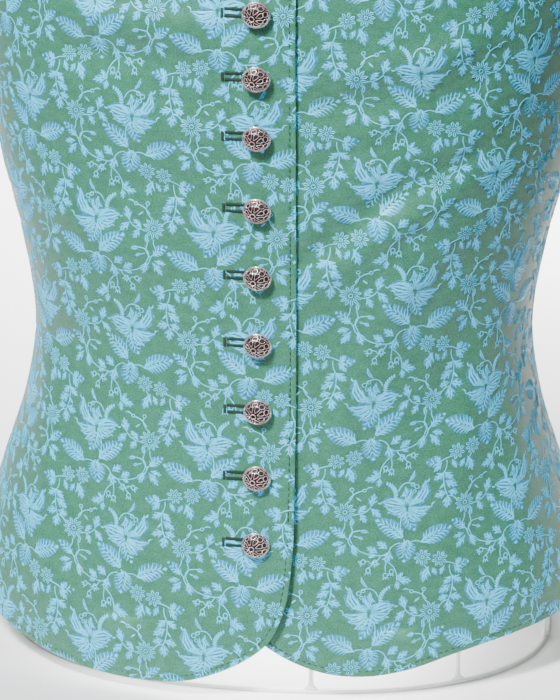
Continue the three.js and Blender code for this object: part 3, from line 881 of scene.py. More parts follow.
# Petals of the bloom: start, end, width, bow, floats side by side.
PETALS = [
    ((-1.5, 0.2), (-10.6, 15.0), 6.0, 0.2, 3), ((-10.3, 13.6), (-12.8, 16.0), 1.8, 0.25, 1),
    ((1.0, 0.2), (13.9, 3.9), 6.6, 0.06, 3), ((1.2, -0.2), (11.2, -0.6), 3.4, -0.14, 2),
    ((0.8, -0.6), (9.0, -3.8), 3.6, -0.14, 2), ((0.6, -1.0), (5.4, -6.2), 3.4, -0.12, 2),
    ((-0.8, -0.2), (-14.2, -1.2), 4.2, 0.14, 2), ((-0.8, -0.8), (-11.2, -5.4), 5.0, 0.12, 3),
    ((-0.8, -1.6), (-7.8, -9.4), 4.4, 0.14, 2), ((1.6, 0.9), (6.8, 5.8), 3.0, 0.04, 2),
    ((3.6, 6.2), (0.8, 12.2), 3.2, 0.32, 3), ((2.0, 3.6), (-2.4, 10.6), 2.6, 0.26, 2),
    ((-2.8, 1.8), (-6.0, 5.6), 2.6, 0.2, 2), ((-3.0, 3.4), (-6.6, 8.8), 2.0, 0.2, 1),
    ((1.0, 1.0), (4.2, 5.2), 2.2, 0.1, 2), ((0.5, 0.8), (1.8, 8.4), 1.1, 0.06, 1),
    ((0.0, 0.8), (-0.1, 9.6), 0.9, 0, 1), ((-0.5, 0.8), (-2.4, 7.6), 1.3, -0.08, 1),
    ((-0.9, 0.6), (-4.6, 4.4), 2.2, -0.1, 2), ((-1.0, 0.3), (-8.4, 3.0), 2.8, -0.12, 2),
    ((-13.8, -1.6), (-16.2, 1.2), 1.5, -0.3, 1), ((13.4, 3.4), (16.0, 3.6), 1.7, -0.3, 1),
    ((10.8, -0.8), (13.2, 1.2), 1.4, 0.3, 1), ((8.8, -3.6), (11.2, -3.4), 1.4, 0.3, 1),
    ((-0.8, 14.8), (-4.6, 21.6), 2.0, 0.12, 2), ((-2.4, -51.0), (1.8, -50.0), 1.3, 0.2, 1),
    ((-7.8, -55.4), (-4.8, -57.8), 1.8, 0, 1), ((-25.8, -50.6), (-28.8, -54.2), 2.0, 0, 1),
    ((30.6, -10.6), (29.4, -5.6), 2.5, 0, 2), ((25.4, -13.2), (21.0, -14.4), 2.3, 0, 2),
    ((26.8, -17.0), (23.8, -18.4), 1.9, 0, 2), ((16.8, -28.0), (21.0, -29.6), 2.3, 0, 2),
]
# Small lobed leaves: start, end, width, bow.
LOBED = [
    # under the two daisies, and the sprig to their left
    ((-12.4, -37.2), (-9.2, -46.4), 5.4, 0.06), ((-14.2, -38.0), (-17.0, -43.0), 3.0, 0),
    ((-27.6, -38.2), (-31.4, -34.4), 3.2, 0), ((-27.2, -38.6), (-31.8, -43.8), 3.6, 0),
    ((-21.4, -37.4), (-18.8, -43.0), 3.0, 0),
    # the branch that hangs from it
    ((-26.2, -44.4), (-32.0, -48.6), 4.2, 0.08), ((-25.8, -44.4), (-20.8, -49.0), 4.0, -0.08),
    ((-25.6, -49.6), (-18.4, -53.8), 4.8, 0), ((-24.6, -56.2), (-31.8, -58.4), 4.6, 0),
    ((-24.0, -56.2), (-18.0, -57.8), 4.2, 0), ((-24.2, -58.4), (-24.8, -66.0), 5.0, 0),
    # round the single daisy
    ((-6.6, -65.2), (-2.0, -60.6), 3.6, 0.1), ((-5.6, -65.6), (-2.2, -71.2), 3.8, 0),
    ((0.2, -61.6), (2.4, -53.4), 4.6, 0), ((0.2, -62.4), (5.8, -68.2), 4.2, 0),
    # below the third big leaf
    ((9.2, -26.0), (11.8, -33.0), 5.4, 0), ((10.8, -24.8), (16.4, -20.0), 4.6, 0),
    ((5.0, -43.6), (-3.0, -45.2), 4.4, 0), ((5.0, -44.0), (1.6, -39.2), 3.2, 0),
    ((5.2, -44.2), (4.4, -49.8), 3.2, 0),
    # the tendrils on the right
    ((16.0, -27.4), (21.8, -23.2), 4.2, 0), ((29.6, -21.2), (27.0, -28.8), 4.0, 0.1),
    ((33.2, -21.4), (38.8, -28.4), 4.2, 0), ((34.2, -20.2), (40.8, -21.6), 3.4, 0),
]
# Stems: start, end, bow.
STEMS = [
    ((4.6, 9.6), (-4.6, 13.0), -0.3), ((3.0, -6.0), (2.6, -17.0), 0.08),
    ((-8.8, -22.6), (-1.2, -22.0), 0.16), ((1.8, -19.4), (-0.2, -22.4), 0.1),
    ((4.0, -21.6), (10.2, -27.4), 0.18), ((-20.6, -35.6), (-29.2, -38.8), -0.08),
    ((-24.4, -37.6), (-26.4, -45.0), 0.1), ((-26.2, -45.0), (-24.2, -58.8), -0.07),
    ((-24.0, -58.6), (-18.6, -62.8), 0.16), ((-9.6, -35.8), (-11.6, -38.4), 0),
    ((-14.0, -70.6), (-15.0, -75.5), 0.1), ((-12.6, -58.8), (-9.2, -53.2), -0.1),
    ((-11.6, -56.6), (-3.8, -51.6), 0.12), ((-9.2, -53.2), (-9.9, -51.8), 0),
    ((-8.2, -65.9), (0.2, -61.8), -0.14), ((11.2, -32.0), (5.2, -43.8), -0.14),
    ((11.4, -33.0), (11.5, -38.6), 0.06), ((13.0, -28.6), (26.6, -25.2), -0.08),
    ((26.6, -25.2), (32.2, -18.8), -0.14), ((32.4, -18.6), (30.6, -10.4), 0.2),
    ((29.8, -21.2), (25.4, -13.2), -0.42), ((28.9, -16.2), (26.8, -17.0), 0.1),
    ((14.4, -28.8), (20.0, -33.4), -0.14), ((18.0, -31.8), (20.9, -36.0), -0.1),
    ((19.8, -32.6), (23.0, -31.8), 0.1), ((31.6, -19.8), (37.0, -14.4), 0.08),
]
DAISIES = [
    ((-18.6, -33.2), 4.8, 8), ((-8.9, -31.5), 5.0, 9), ((-13.8, -64.4), 6.3, 11),
]
RINGS = [
    ((-5.6, 11.4), 1.2), ((-3.3, 12.9), 1.0), ((-4.2, 8.8), 0.9), ((-10.0, -50.6), 1.0),
    ((-3.2, -51.4), 0.9),
]
BELLS = [
    ((8.3, -38.6), 10), ((11.6, -40.6), -4), ((17.4, -32.6), -30), ((20.9, -37.4), 0),
    ((23.6, -32.2), 60),
]


# How far the motifs of one repeat reach from its bloom, at the most.
BED_REACH = {"up": 25, "down": 75, "aside": 45}
REPEATS = range(-8, 9)
CUT_STEPS = 70  # to an edge, where the weave ends


def flower_bed():
    """All the motifs of one repeat, flat and in millimetres."""
    bm = bmesh.new()
    bm.loops.layers.uv.new("float_way")
    for base, tip, width, teeth, bow in TOOTHED:
        weave_toothed_leaf(bm, base, tip, width, teeth, bow)
    weave_banded_horn(bm, (6.4, 4.8), (11.4, 15.0), 4.0, 9, 0.2)
    for start, end, width, bow, veins in PETALS:
        # A wider body gives the petal a dark outline of painted shade.
        if veins > 1:
            weave_body(bm, start, end, width * 1.25, bow, "leaf", 4, 2)
        weave_petal(bm, start, end, width, bow, veins)
    for start, end, width, bow in LOBED:
        weave_lobed_leaf(bm, start, end, width, bow)
    for start, end, bow in STEMS:
        weave_float(bm, start, end, 0.75, bow, "stem", 5)
    for centre, radius, petals in DAISIES:
        weave_daisy(bm, centre, radius, petals)
    for centre, radius in RINGS:
        weave_ring(bm, centre, radius)
    for centre, lean in BELLS:
        weave_bell(bm, centre, lean)
    mesh = bpy.data.meshes.new("flower_bed")
    bm.to_mesh(mesh)
    bm.free()
    return mesh


def woven_flowers(name, bed, material):
    """Repeats the bed of motifs over a piece, cuts it at the piece's edge and lays it on."""
    piece = PIECES[name]
    loop, _ = outline(name, CUT_STEPS)
    start_across, start_up = PATTERN_START[name]
    side = piece["side"]
    low, high = loop.min(axis=0), loop.max(axis=0)
    across_span = sorted((low[0] * side, high[0] * side))
    bm = bmesh.new()
    for row in REPEATS:
        turn = -1 if row % 2 else 1
        y = start_up - ROW_HIGH * row
        if not low[1] - BED_REACH["up"] < y < high[1] + BED_REACH["down"]:
            continue
        for column in REPEATS:
            x = start_across + REPEAT_WIDE * column + (TURN_OVER if turn < 0 else 0)
            if not across_span[0] - BED_REACH["aside"] < x < across_span[1] + BED_REACH["aside"]:
                continue
            before = len(bm.verts)
            bm.from_mesh(bed)
            bm.verts.ensure_lookup_table()
            bmesh.ops.transform(bm, verts=bm.verts[before:], matrix=(
                Matrix.Translation((x, y, 0)) @ Matrix.Diagonal((turn, 1, 1, 1))))
    flat = places_of(bm)
    if name in GRAIN_DRIFT:
        ups, across, upwards = GRAIN_DRIFT[name].T
        at = flat[:, 1].copy()
        flat[:, 0] += read_rows(ups, across, at)
        flat[:, 1] += read_rows(ups, upwards, at)
        move_to(bm.verts, flat)
    points = np.stack([flat[:, 0] * side, flat[:, 1]], axis=1)
    inside = inside_loop(points, loop)
    bmesh.ops.delete(bm, context="FACES", geom=[
        face for face in bm.faces if not any(inside[v.index] for v in face.verts)])
    bm.verts.ensure_lookup_table()
    flat = places_of(bm)
    points = np.stack([flat[:, 0] * side, flat[:, 1]], axis=1)
    out = ~inside_loop(points, loop)
    points[out] = nearest_on(points[out], loop, np.roll(loop, -1, axis=0))[0]
    move_to(bm.verts, on_piece(name, points[:, 0], points[:, 1], flat[:, 2]))
    bmesh.ops.recalc_face_normals(bm, faces=bm.faces)
    bm.faces.ensure_lookup_table()
    for face in bm.faces:
        face.normal_update()
    level = Vector((1, 1, 0))
    inwards = [
        face for face in bm.faces if face.normal.dot(face.calc_center_median() * level) < 0]
    bmesh.ops.reverse_faces(bm, faces=inwards)
    return new_piece(f"{name}_flowers", bm, [material])


# ------------------------------------------------------------------ sewing


def sew(bm, starts, ends, outs, thick):
    """One stitch from each start to its end: a thin pad of thread on the cloth."""
    for start, end, out in zip(starts, ends, outs):
        start, end, out = Vector(start), Vector(end), Vector(out).normalized()
        along = end - start
        across = out.cross(along).normalized()
        middle = (start + end) / 2
        turn = Matrix((along / 2, across * thick / 2, out * thick / 2)).transposed().to_4x4()
        bmesh.ops.create_icosphere(
            bm, subdivisions=1, radius=1, matrix=Matrix.Translation(middle) @ turn)


def sewn_on(bm, name, starts, ends, thick, above=0.1):
    """Stitches given as around and up on a piece's outer face."""
    starts, ends = np.array(starts, float), np.array(ends, float)
    a = on_piece(name, starts[:, 0], starts[:, 1], above)
    b = on_piece(name, ends[:, 0], ends[:, 1], above)
    middles = (starts + ends) / 2
    piece = PIECES[name]
    sew(bm, a, b, body_normal(piece["half"], piece["side"], middles[:, 0], middles[:, 1]), thick)


LINE_STEPS = 400
# Buttonholes: pitch of the stitches, height of a bar, how far the working wanders, where
# the bars start, and the bar that closes the end.
HOLE_PITCH = 0.55
HOLE_BAR = 2.3
HOLE_WANDER = 0.1
HOLE_START = 1
HOLE_END = {"from": -0.4, "to": 1.5, "inset": 0.4}


def free_lines(name, inset):
    """The free edges of a piece, moved inwards, as lines of around and up."""
    edges = PIECES[name]["edges"]
    low, high = edges["free_centre"]
    way = np.linspace(0, 1, LINE_STEPS)
    armhole = edges["far"](SEAM_SHARE + (1 - SEAM_SHARE) * way)
    # Each line, and on which side of it the cloth lies.
    if PIECES[name]["half"] == "front":
        hem_and_front = np.vstack([edges["hem"](way[::-1]), edges["centre"](way[1:])])
        lines = [(hem_and_front, -1), (armhole, 1)]
    else:
        neck = edges["centre"](low + (high - low) * way)
        lines = [(edges["hem"](way), 1), (neck, -1), (armhole, 1)]
    moved = []
    for line, turn in lines:
        step = np.gradient(line, axis=0)
        step = step / np.maximum(np.linalg.norm(step, axis=1, keepdims=True), 1e-9)
        moved.append(line + np.stack([-step[:, 1], step[:, 0]], axis=1) * inset * turn)
    return moved


def edge_stitches(name, inset, length, gap):
    """Starts and ends of the top stitches along the free edges of a piece."""
    starts, ends = [], []
    for line in free_lines(name, inset):
        way = np.concatenate([[0], np.cumsum(np.hypot(*np.diff(line, axis=0).T))])
        places = np.arange(gap, way[-1] - length, length + gap)
        for found, at in ((starts, places), (ends, places + length)):
            found.extend(zip(np.interp(at, way, line[:, 0]), np.interp(at, way, line[:, 1])))
    return starts, ends


def buttonhole_stitches(up, length, tall):
    """Starts and ends of the stitches worked round one buttonhole, as around and up."""
    starts, ends = [], []
    for k in range(int((length - HOLE_START) / HOLE_PITCH)):
        at = HOLE_START + k * HOLE_PITCH
        for low in (up - tall / 2, up + tall / 2 - HOLE_BAR):
            starts.append((at, low))
            ends.append((at + HOLE_WANDER * math.sin(k * 2.1), low + HOLE_BAR))
    for k in range(int((tall - 0.6) / HOLE_PITCH)):
        at = up - tall / 2 + HOLE_END["inset"] + k * HOLE_PITCH
        starts.append((length + HOLE_END["from"], at))
        ends.append((length + HOLE_END["to"], at))
    return starts, ends


# ------------------------------------------------------------------ buttons


def button_frames():
    """Where each button sits: the middle of its back and its outward direction."""
    frames = []
    for number, up in enumerate(BUTTON_HEIGHTS):
        out = float(piece_out("front_right", np.zeros(1), np.full(1, up))[0]) + CLOTH
        at, tip = (
            off_body("front", 1, np.zeros(1), np.full(1, up), out + more)[0]
            for more in (BUTTON_GAP, 10)
        )
        axis = Vector(tip - at).normalized()
        axis.rotate(Matrix.Rotation(BUTTON_DROOP, 3, "X"))
        frames.append((f"button_{number + 1:02d}", up, Vector(to_metres(at)), axis))
    return frames


POLE_OFF = Vector((-0.15, -0.06))
DOME = {"radius": 7.55, "high": 4.55, "base": 1.7, "fullness": 0.95}
WIRE_CENTRE = Vector((0, 0, -1.5))  # the wires' sections stand square to this point
POLE_RING = {"polar": 0.12, "points": 12, "lift": 0.2, "wire": 0.3}
# Rows of loops round it: how many, first turn, middle, half height, half width, points
# of a loop and thickness of its wire. A row that starts at no turn has even loops.
OPENWORK = [
    (8, 0.5, 0.36, 0.17, 0.25, 12, 0.19), (10, 0, 0.63, 0.13, 0.24, 12, 0.19),
    (14, 0, 0.85, 0.09, 0.17, 10, 0.19),
]
LOOP_TAPER = (0.62, 0.38)
# Turned solids of a button: profile as (radius, height), steps and material.
BUTTON_TURNED = [
    # First the dark inner dome under the openwork, in patina and painted shade; then the rim; then
    # the thread shank.
    ([(7.0, 1.0), (6.9, 2.0), (6.2, 3.4), (4.9, 4.5), (3.0, 5.2), (1.4, 5.4), (0, 5.45)], 24, 1),
    ([(0, 0.15), (5.9, 0.15), (7.2, 0.75), (7.75, 1.3), (7.9, 1.9), (7.6, 2.3), (7.0, 2.2),
      (6.9, 1.4)], 28, 0),
    ([(0, -1.9), (1.4, -1.9), (1.15, -1.2), (1.15, 0.3), (0, 0.3)], 10, 2),
]
BUTTON_SQUEEZE = {"across": 0.97, "upwards": 0.93}


def on_dome(polar, turn, lift=0.0):
    """A point of the button's dome, in millimetres: polar is 0 at the openwork's pole, which
    sits a little off the top, and 1 at the rim."""
    flat = Vector((math.sin(turn), math.cos(turn))) * polar + POLE_OFF * (1 - polar**2)
    polar, turn = flat.length, math.atan2(flat.x, flat.y)
    angle = polar * math.pi / 2
    r = (DOME["radius"] + lift) * math.sin(angle) ** DOME["fullness"]
    z = DOME["base"] + (DOME["high"] + lift) * math.cos(angle)
    return Vector((r * math.sin(turn), r * math.cos(turn), z))


def wire_loop(bm, points, radius, sides=5):
    """A closed wire through points of the dome."""
    count = len(points)
    rows = []
    for i, point in enumerate(points):
        along = (points[(i + 1) % count] - points[i - 1]).normalized()
        out = (point - WIRE_CENTRE).normalized()
        across = along.cross(out).normalized()
        out = across.cross(along)
        turn = Matrix((across, out, along)).transposed().to_4x4()
        ring = bmesh.ops.create_circle(
            bm, segments=sides, radius=radius, matrix=Matrix.Translation(point) @ turn)
        rows.append(list({edge for vertex in ring["verts"] for edge in vertex.link_edges}))
    for a, b in zip(rows, rows[1:] + rows[:1]):
        bmesh.ops.bridge_loops(bm, edges=a + b)


def lathe(bm, profile, steps, material_index=0):
    """Turns a profile of (radius, height) points about the vertical axis."""
    made = [bm.verts.new((r, 0, z)) for r, z in profile]
    edges = [bm.edges.new(pair) for pair in zip(made, made[1:])]
    before = set(bm.faces)
    bmesh.ops.spin(
        bm, geom=made + edges, axis=(0, 0, 1), cent=(0, 0, 0), angle=2 * math.pi, steps=steps,
        use_merge=True)
    bmesh.ops.remove_doubles(bm, verts=bm.verts, dist=1e-4)
    for face in bm.faces:
        if face not in before:
            face.material_index = material_index


def openwork_button():
    """A button with its back at the origin and its dome along +Z, in millimetres."""
    core = bmesh.new()
    for profile, steps, material_index in BUTTON_TURNED:
        lathe(core, profile, steps, material_index)
    bmesh.ops.recalc_face_normals(core, faces=core.faces)
    mesh = bpy.data.meshes.new("button_core")
    core.to_mesh(mesh)
    core.free()

    bm = bmesh.new()
    count = POLE_RING["points"]
    wire_loop(bm, [
        on_dome(POLE_RING["polar"], k / count * 2 * math.pi, POLE_RING["lift"])
        for k in range(count)], POLE_RING["wire"])
    for count, first, middle, tall, wide, points, wire in OPENWORK:
        for k in range(count):
            turn = (k + first) / count * 2 * math.pi
            loop = []
            for i in range(points):
                angle = i / points * 2 * math.pi
                taper = LOOP_TAPER[0] + LOOP_TAPER[1] * (1 - math.cos(angle)) if first else 1
                loop.append(on_dome(
                    middle - tall * math.cos(angle), turn + wide * taper * math.sin(angle)))
            wire_loop(bm, loop, wire)
    bmesh.ops.recalc_face_normals(bm, faces=bm.faces)
    bm.from_mesh(mesh)
    made = bpy.data.meshes.new("openwork_button")
    bm.to_mesh(made)
    bm.free()
    return made


# ------------------------------------------------------------------ dress form


def wrap_round(bm, columns, rows, place):
    """A closed tube of faces: place gives the point at a share round and a row."""
    made = bmesh.ops.create_grid(bm, x_segments=columns, y_segments=rows, size=0.5)["verts"]
    shares = np.array([(v.co.x + 0.5, round((v.co.y + 0.5) * rows)) for v in made])
    move_to(made, place(shares[:, 0], shares[:, 1].astype(int)))
    bmesh.ops.remove_doubles(bm, verts=made, dist=1e-6)


# The torso's quarters in order: half, side, and whether it is gone through outwards.
QUARTERS = [("front", 1, True), ("back", 1, False), ("back", -1, True), ("front", -1, False)]
TORSO_EDGE = 3  # radius of its rounded edges
NECK_TOP = 648  # where the upper one starts
TORSO_COLUMNS = 128
TORSO_ROWS = [(57, 560, 74), (565, 647, 22)]  # from, to, how many
RING_COLUMNS = 200
# Section of the foot ring's bar, as shares of its width and height.
BAR_SECTION = [
    (-0.5, 0), (0.5, 0), (0.5, 0.6), (0.47, 0.78), (0.4, 0.92), (0.28, 1), (-0.28, 1),
    (-0.4, 0.92), (-0.47, 0.78), (-0.5, 0.6), (-0.5, 0),
]
# A post: radius, and height over its lower end or under its upper one.
POST_FOOT = [(0, 0), (1.75, 0), (1.5, 1), (1.32, 2.5), (1.22, 6)]
POST_HEAD = [(1.2, 8), (1.45, 2.5), (1.9, 0.6), (2.2, 0), (0, 0)]
POST_SPREAD = {"share": 1.2, "fade": 1.6}


def torso_point(share, up, inset, z):
    """Points round the torso: share runs from the front middle by the wearer's left."""
    points = np.zeros((len(share), 3))
    for quarter, (half, side, forward) in enumerate(QUARTERS):
        part = share * 4 - quarter
        mine = (part >= 0) & (part <= 1) if quarter == 3 else (part >= 0) & (part < 1)
        way = part if forward else 1 - part
        around = quarter_at(half, up[mine]) * way[mine]
        points[mine] = off_body(half, side, around, up[mine], -inset[mine])
    points[:, 2] = np.where(np.isnan(z), points[:, 2], z)
    return to_metres(points)


def ring_points(count=720):
    """The foot ring's centre line, as local millimetres, and the way round it."""
    angle = np.linspace(0, 2 * math.pi, count + 1)
    power = 2 / SQUARENESS["body"]
    x = FOOT_RING["side"] * np.sign(np.sin(angle)) * np.abs(np.sin(angle)) ** power
    y = -FOOT_RING["depth"] * np.sign(np.cos(angle)) * np.abs(np.cos(angle)) ** power
    line = np.stack([x, y], axis=1)
    way = np.concatenate([[0], np.cumsum(np.hypot(*np.diff(line, axis=0).T))])
    return line, way


# ------------------------------------------------------------------ settings and steps

SHELL_GRID = {"front": (96, 190), "back": (68, 140)}
SHELL_CROWDING = (0.7, 0.45)  # how much the grid's columns and rows crowd at the edges
RIM_ROUNDING = 0.5
OUTLINE_STEPS = 400  # to an edge, where the cut is measured
# The camera's target is in the millimetres of the tables; pixel is the size of one there.
CAMERA = {
    "azimuth": 7.05, "elevation": 20, "roll": 0.35, "distance": 2.4, "pixel": 0.5357,
    "target": (11.05, -108, 201.2), "picture_wide": 560, "sensor": 36,
}
FLOOR_SIZE = 9
SKY = 0.14
# Each light: name, place, what it is aimed at, size, spread in degrees and watts.
LIGHTS = [
    ("key", (-0.7, -1.9, 2.5), (0, 0, 0.24), 0.5, 28, 7.4),
    ("fill", (1.0, -2.7, 1.2), (0, 0, 0.25), 2.6, 80, 4.0),
    ("floor", (0.0, 0.95, 2.4), (0, 0.95, 0), 0.8, 40, 26.5),
    ("under", (0, -0.03, 0.044), (0, -0.03, 0), 0.17, 160, 0.36),
]

class WaistcoatSizes(bpy.types.PropertyGroup):
    """Sizes of the sewn details."""

    stitch_length: bpy.props.FloatProperty(
        name="Stitch length", description="Length of one top stitch",
        default=0.0029, unit="LENGTH")
    stitch_gap: bpy.props.FloatProperty(
        name="Stitch gap", description="Gap between two top stitches",
        default=0.0006, unit="LENGTH")
    stitch_inset: bpy.props.FloatProperty(
        name="Stitch inset", description="From the cloth's edge to the top stitching",
        default=0.003, unit="LENGTH")
    thread_thick: bpy.props.FloatProperty(
        name="Thread thickness", description="Thickness of the sewing thread",
        default=0.00062, unit="LENGTH")
    hole_length: bpy.props.FloatProperty(
        name="Buttonhole length", description="From the centre line to the closed end",
        default=0.0174, unit="LENGTH")
    hole_height: bpy.props.FloatProperty(
        name="Buttonhole height", description="Over both worked bars",
        default=0.0060, unit="LENGTH")


class WaistcoatColours(bpy.types.PropertyGroup):
    """Colours, as sRGB hex values."""

    ground: bpy.props.StringProperty(
        name="Ground", description="Green of the cloth", default="#3f876c")
    ground_deep: bpy.props.StringProperty(
        name="Deep ground", description="Green between threads", default="#1b553e")
    # The flowers' blue is the painted shade at the floats' edges, and the pale blue the painted
    # highlight along their middles.
    flower: bpy.props.StringProperty(
        name="Flowers", description="Blue of the woven flowers", default="#0c5276")
    flower_painted_highlight: bpy.props.StringProperty(
        name="Pale flowers", description="Palest blue of them", default="#48d6ff")
    thread: bpy.props.StringProperty(
        name="Thread", description="Sewing thread", default="#0a2018")
    thread_pale: bpy.props.StringProperty(
        name="Pale thread", description="Where it is worn", default="#173a2b")
    metal: bpy.props.StringProperty(
        name="Metal", description="Bright metal of the buttons", default="#fff1ee")
    metal_worn: bpy.props.StringProperty(
        name="Dull metal", description="Patina on it", default="#c4989a")
    # Inside of the buttons: a dark reddish patina, darkened nearly to black as painted shade.
    patina_and_painted_shade: bpy.props.StringProperty(
        name="Recess", description="Inside of the buttons", default="#1a0909")
    form: bpy.props.StringProperty(
        name="Form", description="Dress form", default="#fafaf8")
    floor: bpy.props.StringProperty(
        name="Floor", description="Studio floor", default="#fbfbfb")


class WAISTCOAT_OT_cloth(bpy.types.Operator):
    """Makes the four brocade pieces as thin shells on their solids"""

    bl_idname = "waistcoat.cloth"
    bl_label = "Cloth"

    def execute(self, context):
        material = brocade_ground(context.scene.waistcoat_colours)
        for name, piece in PIECES.items():
            columns, rows = SHELL_GRID[piece["half"]]
            bm = bmesh.new()
            made = bmesh.ops.create_grid(
                bm, x_segments=columns, y_segments=rows, size=0.5)["verts"]
            shares = np.clip(np.array([(v.co.x + 0.5, v.co.y + 0.5) for v in made]), 0, 1)
            cut = blend_edges(piece["edges"], *(
                crowd(shares[:, k], SHELL_CROWDING[k]) for k in (0, 1)))
            move_to(made, on_piece(name, cut[:, 0], cut[:, 1]))
            grain = cut * np.array([piece["side"], 1]) * MM
            layer = bm.loops.layers.uv.new("cloth_grain")
            for face in bm.faces:
                for loop in face.loops:
                    loop[layer].uv = grain[loop.vert.index]
            if (piece["half"] == "front") != (piece["side"] > 0):
                bmesh.ops.reverse_faces(bm, faces=bm.faces)
            shell = new_piece(f"{name}_brocade", bm, [material])
            wall = shell.modifiers.new("wall", "SOLIDIFY")
            wall.thickness = CLOTH * MM
            wall.offset = -1
            rounding = shell.modifiers.new("rounded rim", "BEVEL")
            rounding.width = RIM_ROUNDING * MM
            rounding.segments = 2
            rounding.limit_method = "ANGLE"
            rounding.angle_limit = math.radians(60)
            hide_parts(name)
        return {"FINISHED"}


class WAISTCOAT_OT_flowers(bpy.types.Operator):
    """Weaves the flowers over the four pieces, as floats that lie on the ground"""

    bl_idname = "waistcoat.flowers"
    bl_label = "Woven flowers"

    def execute(self, context):
        material = brocade_float(context.scene.waistcoat_colours)
        bed = flower_bed()
        for name in PIECES:
            woven_flowers(name, bed, material)
        bpy.data.meshes.remove(bed)
        return {"FINISHED"}


class WAISTCOAT_OT_stitching(bpy.types.Operator):
    """Sews the top stitching along the free edges"""

    bl_idname = "waistcoat.stitching"
    bl_label = "Top stitching"

    def execute(self, context):
        sizes = context.scene.waistcoat_sizes
        material = sewing_thread(context.scene.waistcoat_colours)
        for name in PIECES:
            starts, ends = edge_stitches(
                name, sizes.stitch_inset / MM, sizes.stitch_length / MM, sizes.stitch_gap / MM)
            bm = bmesh.new()
            sewn_on(bm, name, starts, ends, sizes.thread_thick)
            new_piece(f"{name}_stitching", bm, [material])
        return {"FINISHED"}


class WAISTCOAT_OT_buttonholes(bpy.types.Operator):
    """Works the buttonholes on the wearer's right front"""

    bl_idname = "waistcoat.buttonholes"
    bl_label = "Buttonholes"

    def execute(self, context):
        sizes = context.scene.waistcoat_sizes
        material = bpy.data.materials["cotton_thread_twisted"]
        bm = bmesh.new()
        for _, up, _, _ in button_frames():
            starts, ends = buttonhole_stitches(up, sizes.hole_length / MM, sizes.hole_height / MM)
            sewn_on(bm, "front_right", starts, ends, sizes.thread_thick * 1.5, 0.2)
        new_piece("buttonholes", bm, [material])
        return {"FINISHED"}


class WAISTCOAT_OT_buttons(bpy.types.Operator):
    """Sets an openwork button on its thread shank over each buttonhole"""

    bl_idname = "waistcoat.buttons"
    bl_label = "Buttons"

    def execute(self, context):
        colours = context.scene.waistcoat_colours
        # Patina in the buttons' hollows, dark reddish brown and dull, darkened nearly to black as
        # painted shade under the openwork so that the openwork stands out.
        patina_and_painted_shade = plain_material("copper_oxide_patina_and_painted_shade", colours.patina_and_painted_shade, 0.55)
        materials = [cast_metal(colours), patina_and_painted_shade, bpy.data.materials["cotton_thread_twisted"]]
        pattern = openwork_button()
        for name, _, place, axis in button_frames():
            across = Vector((0, 0, 1)).cross(axis).normalized()
            upwards = axis.cross(across)
            turn = Matrix((
                across * MM * BUTTON_SQUEEZE["across"], upwards * MM * BUTTON_SQUEEZE["upwards"],
                axis * MM)).transposed().to_4x4()
            bm = bmesh.new()
            bm.from_mesh(pattern)
            bmesh.ops.transform(bm, verts=bm.verts, matrix=Matrix.Translation(place) @ turn)
            button = new_piece(f"{name}_openwork", bm, materials)
            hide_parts(name)
        bpy.data.meshes.remove(pattern)
        return {"FINISHED"}


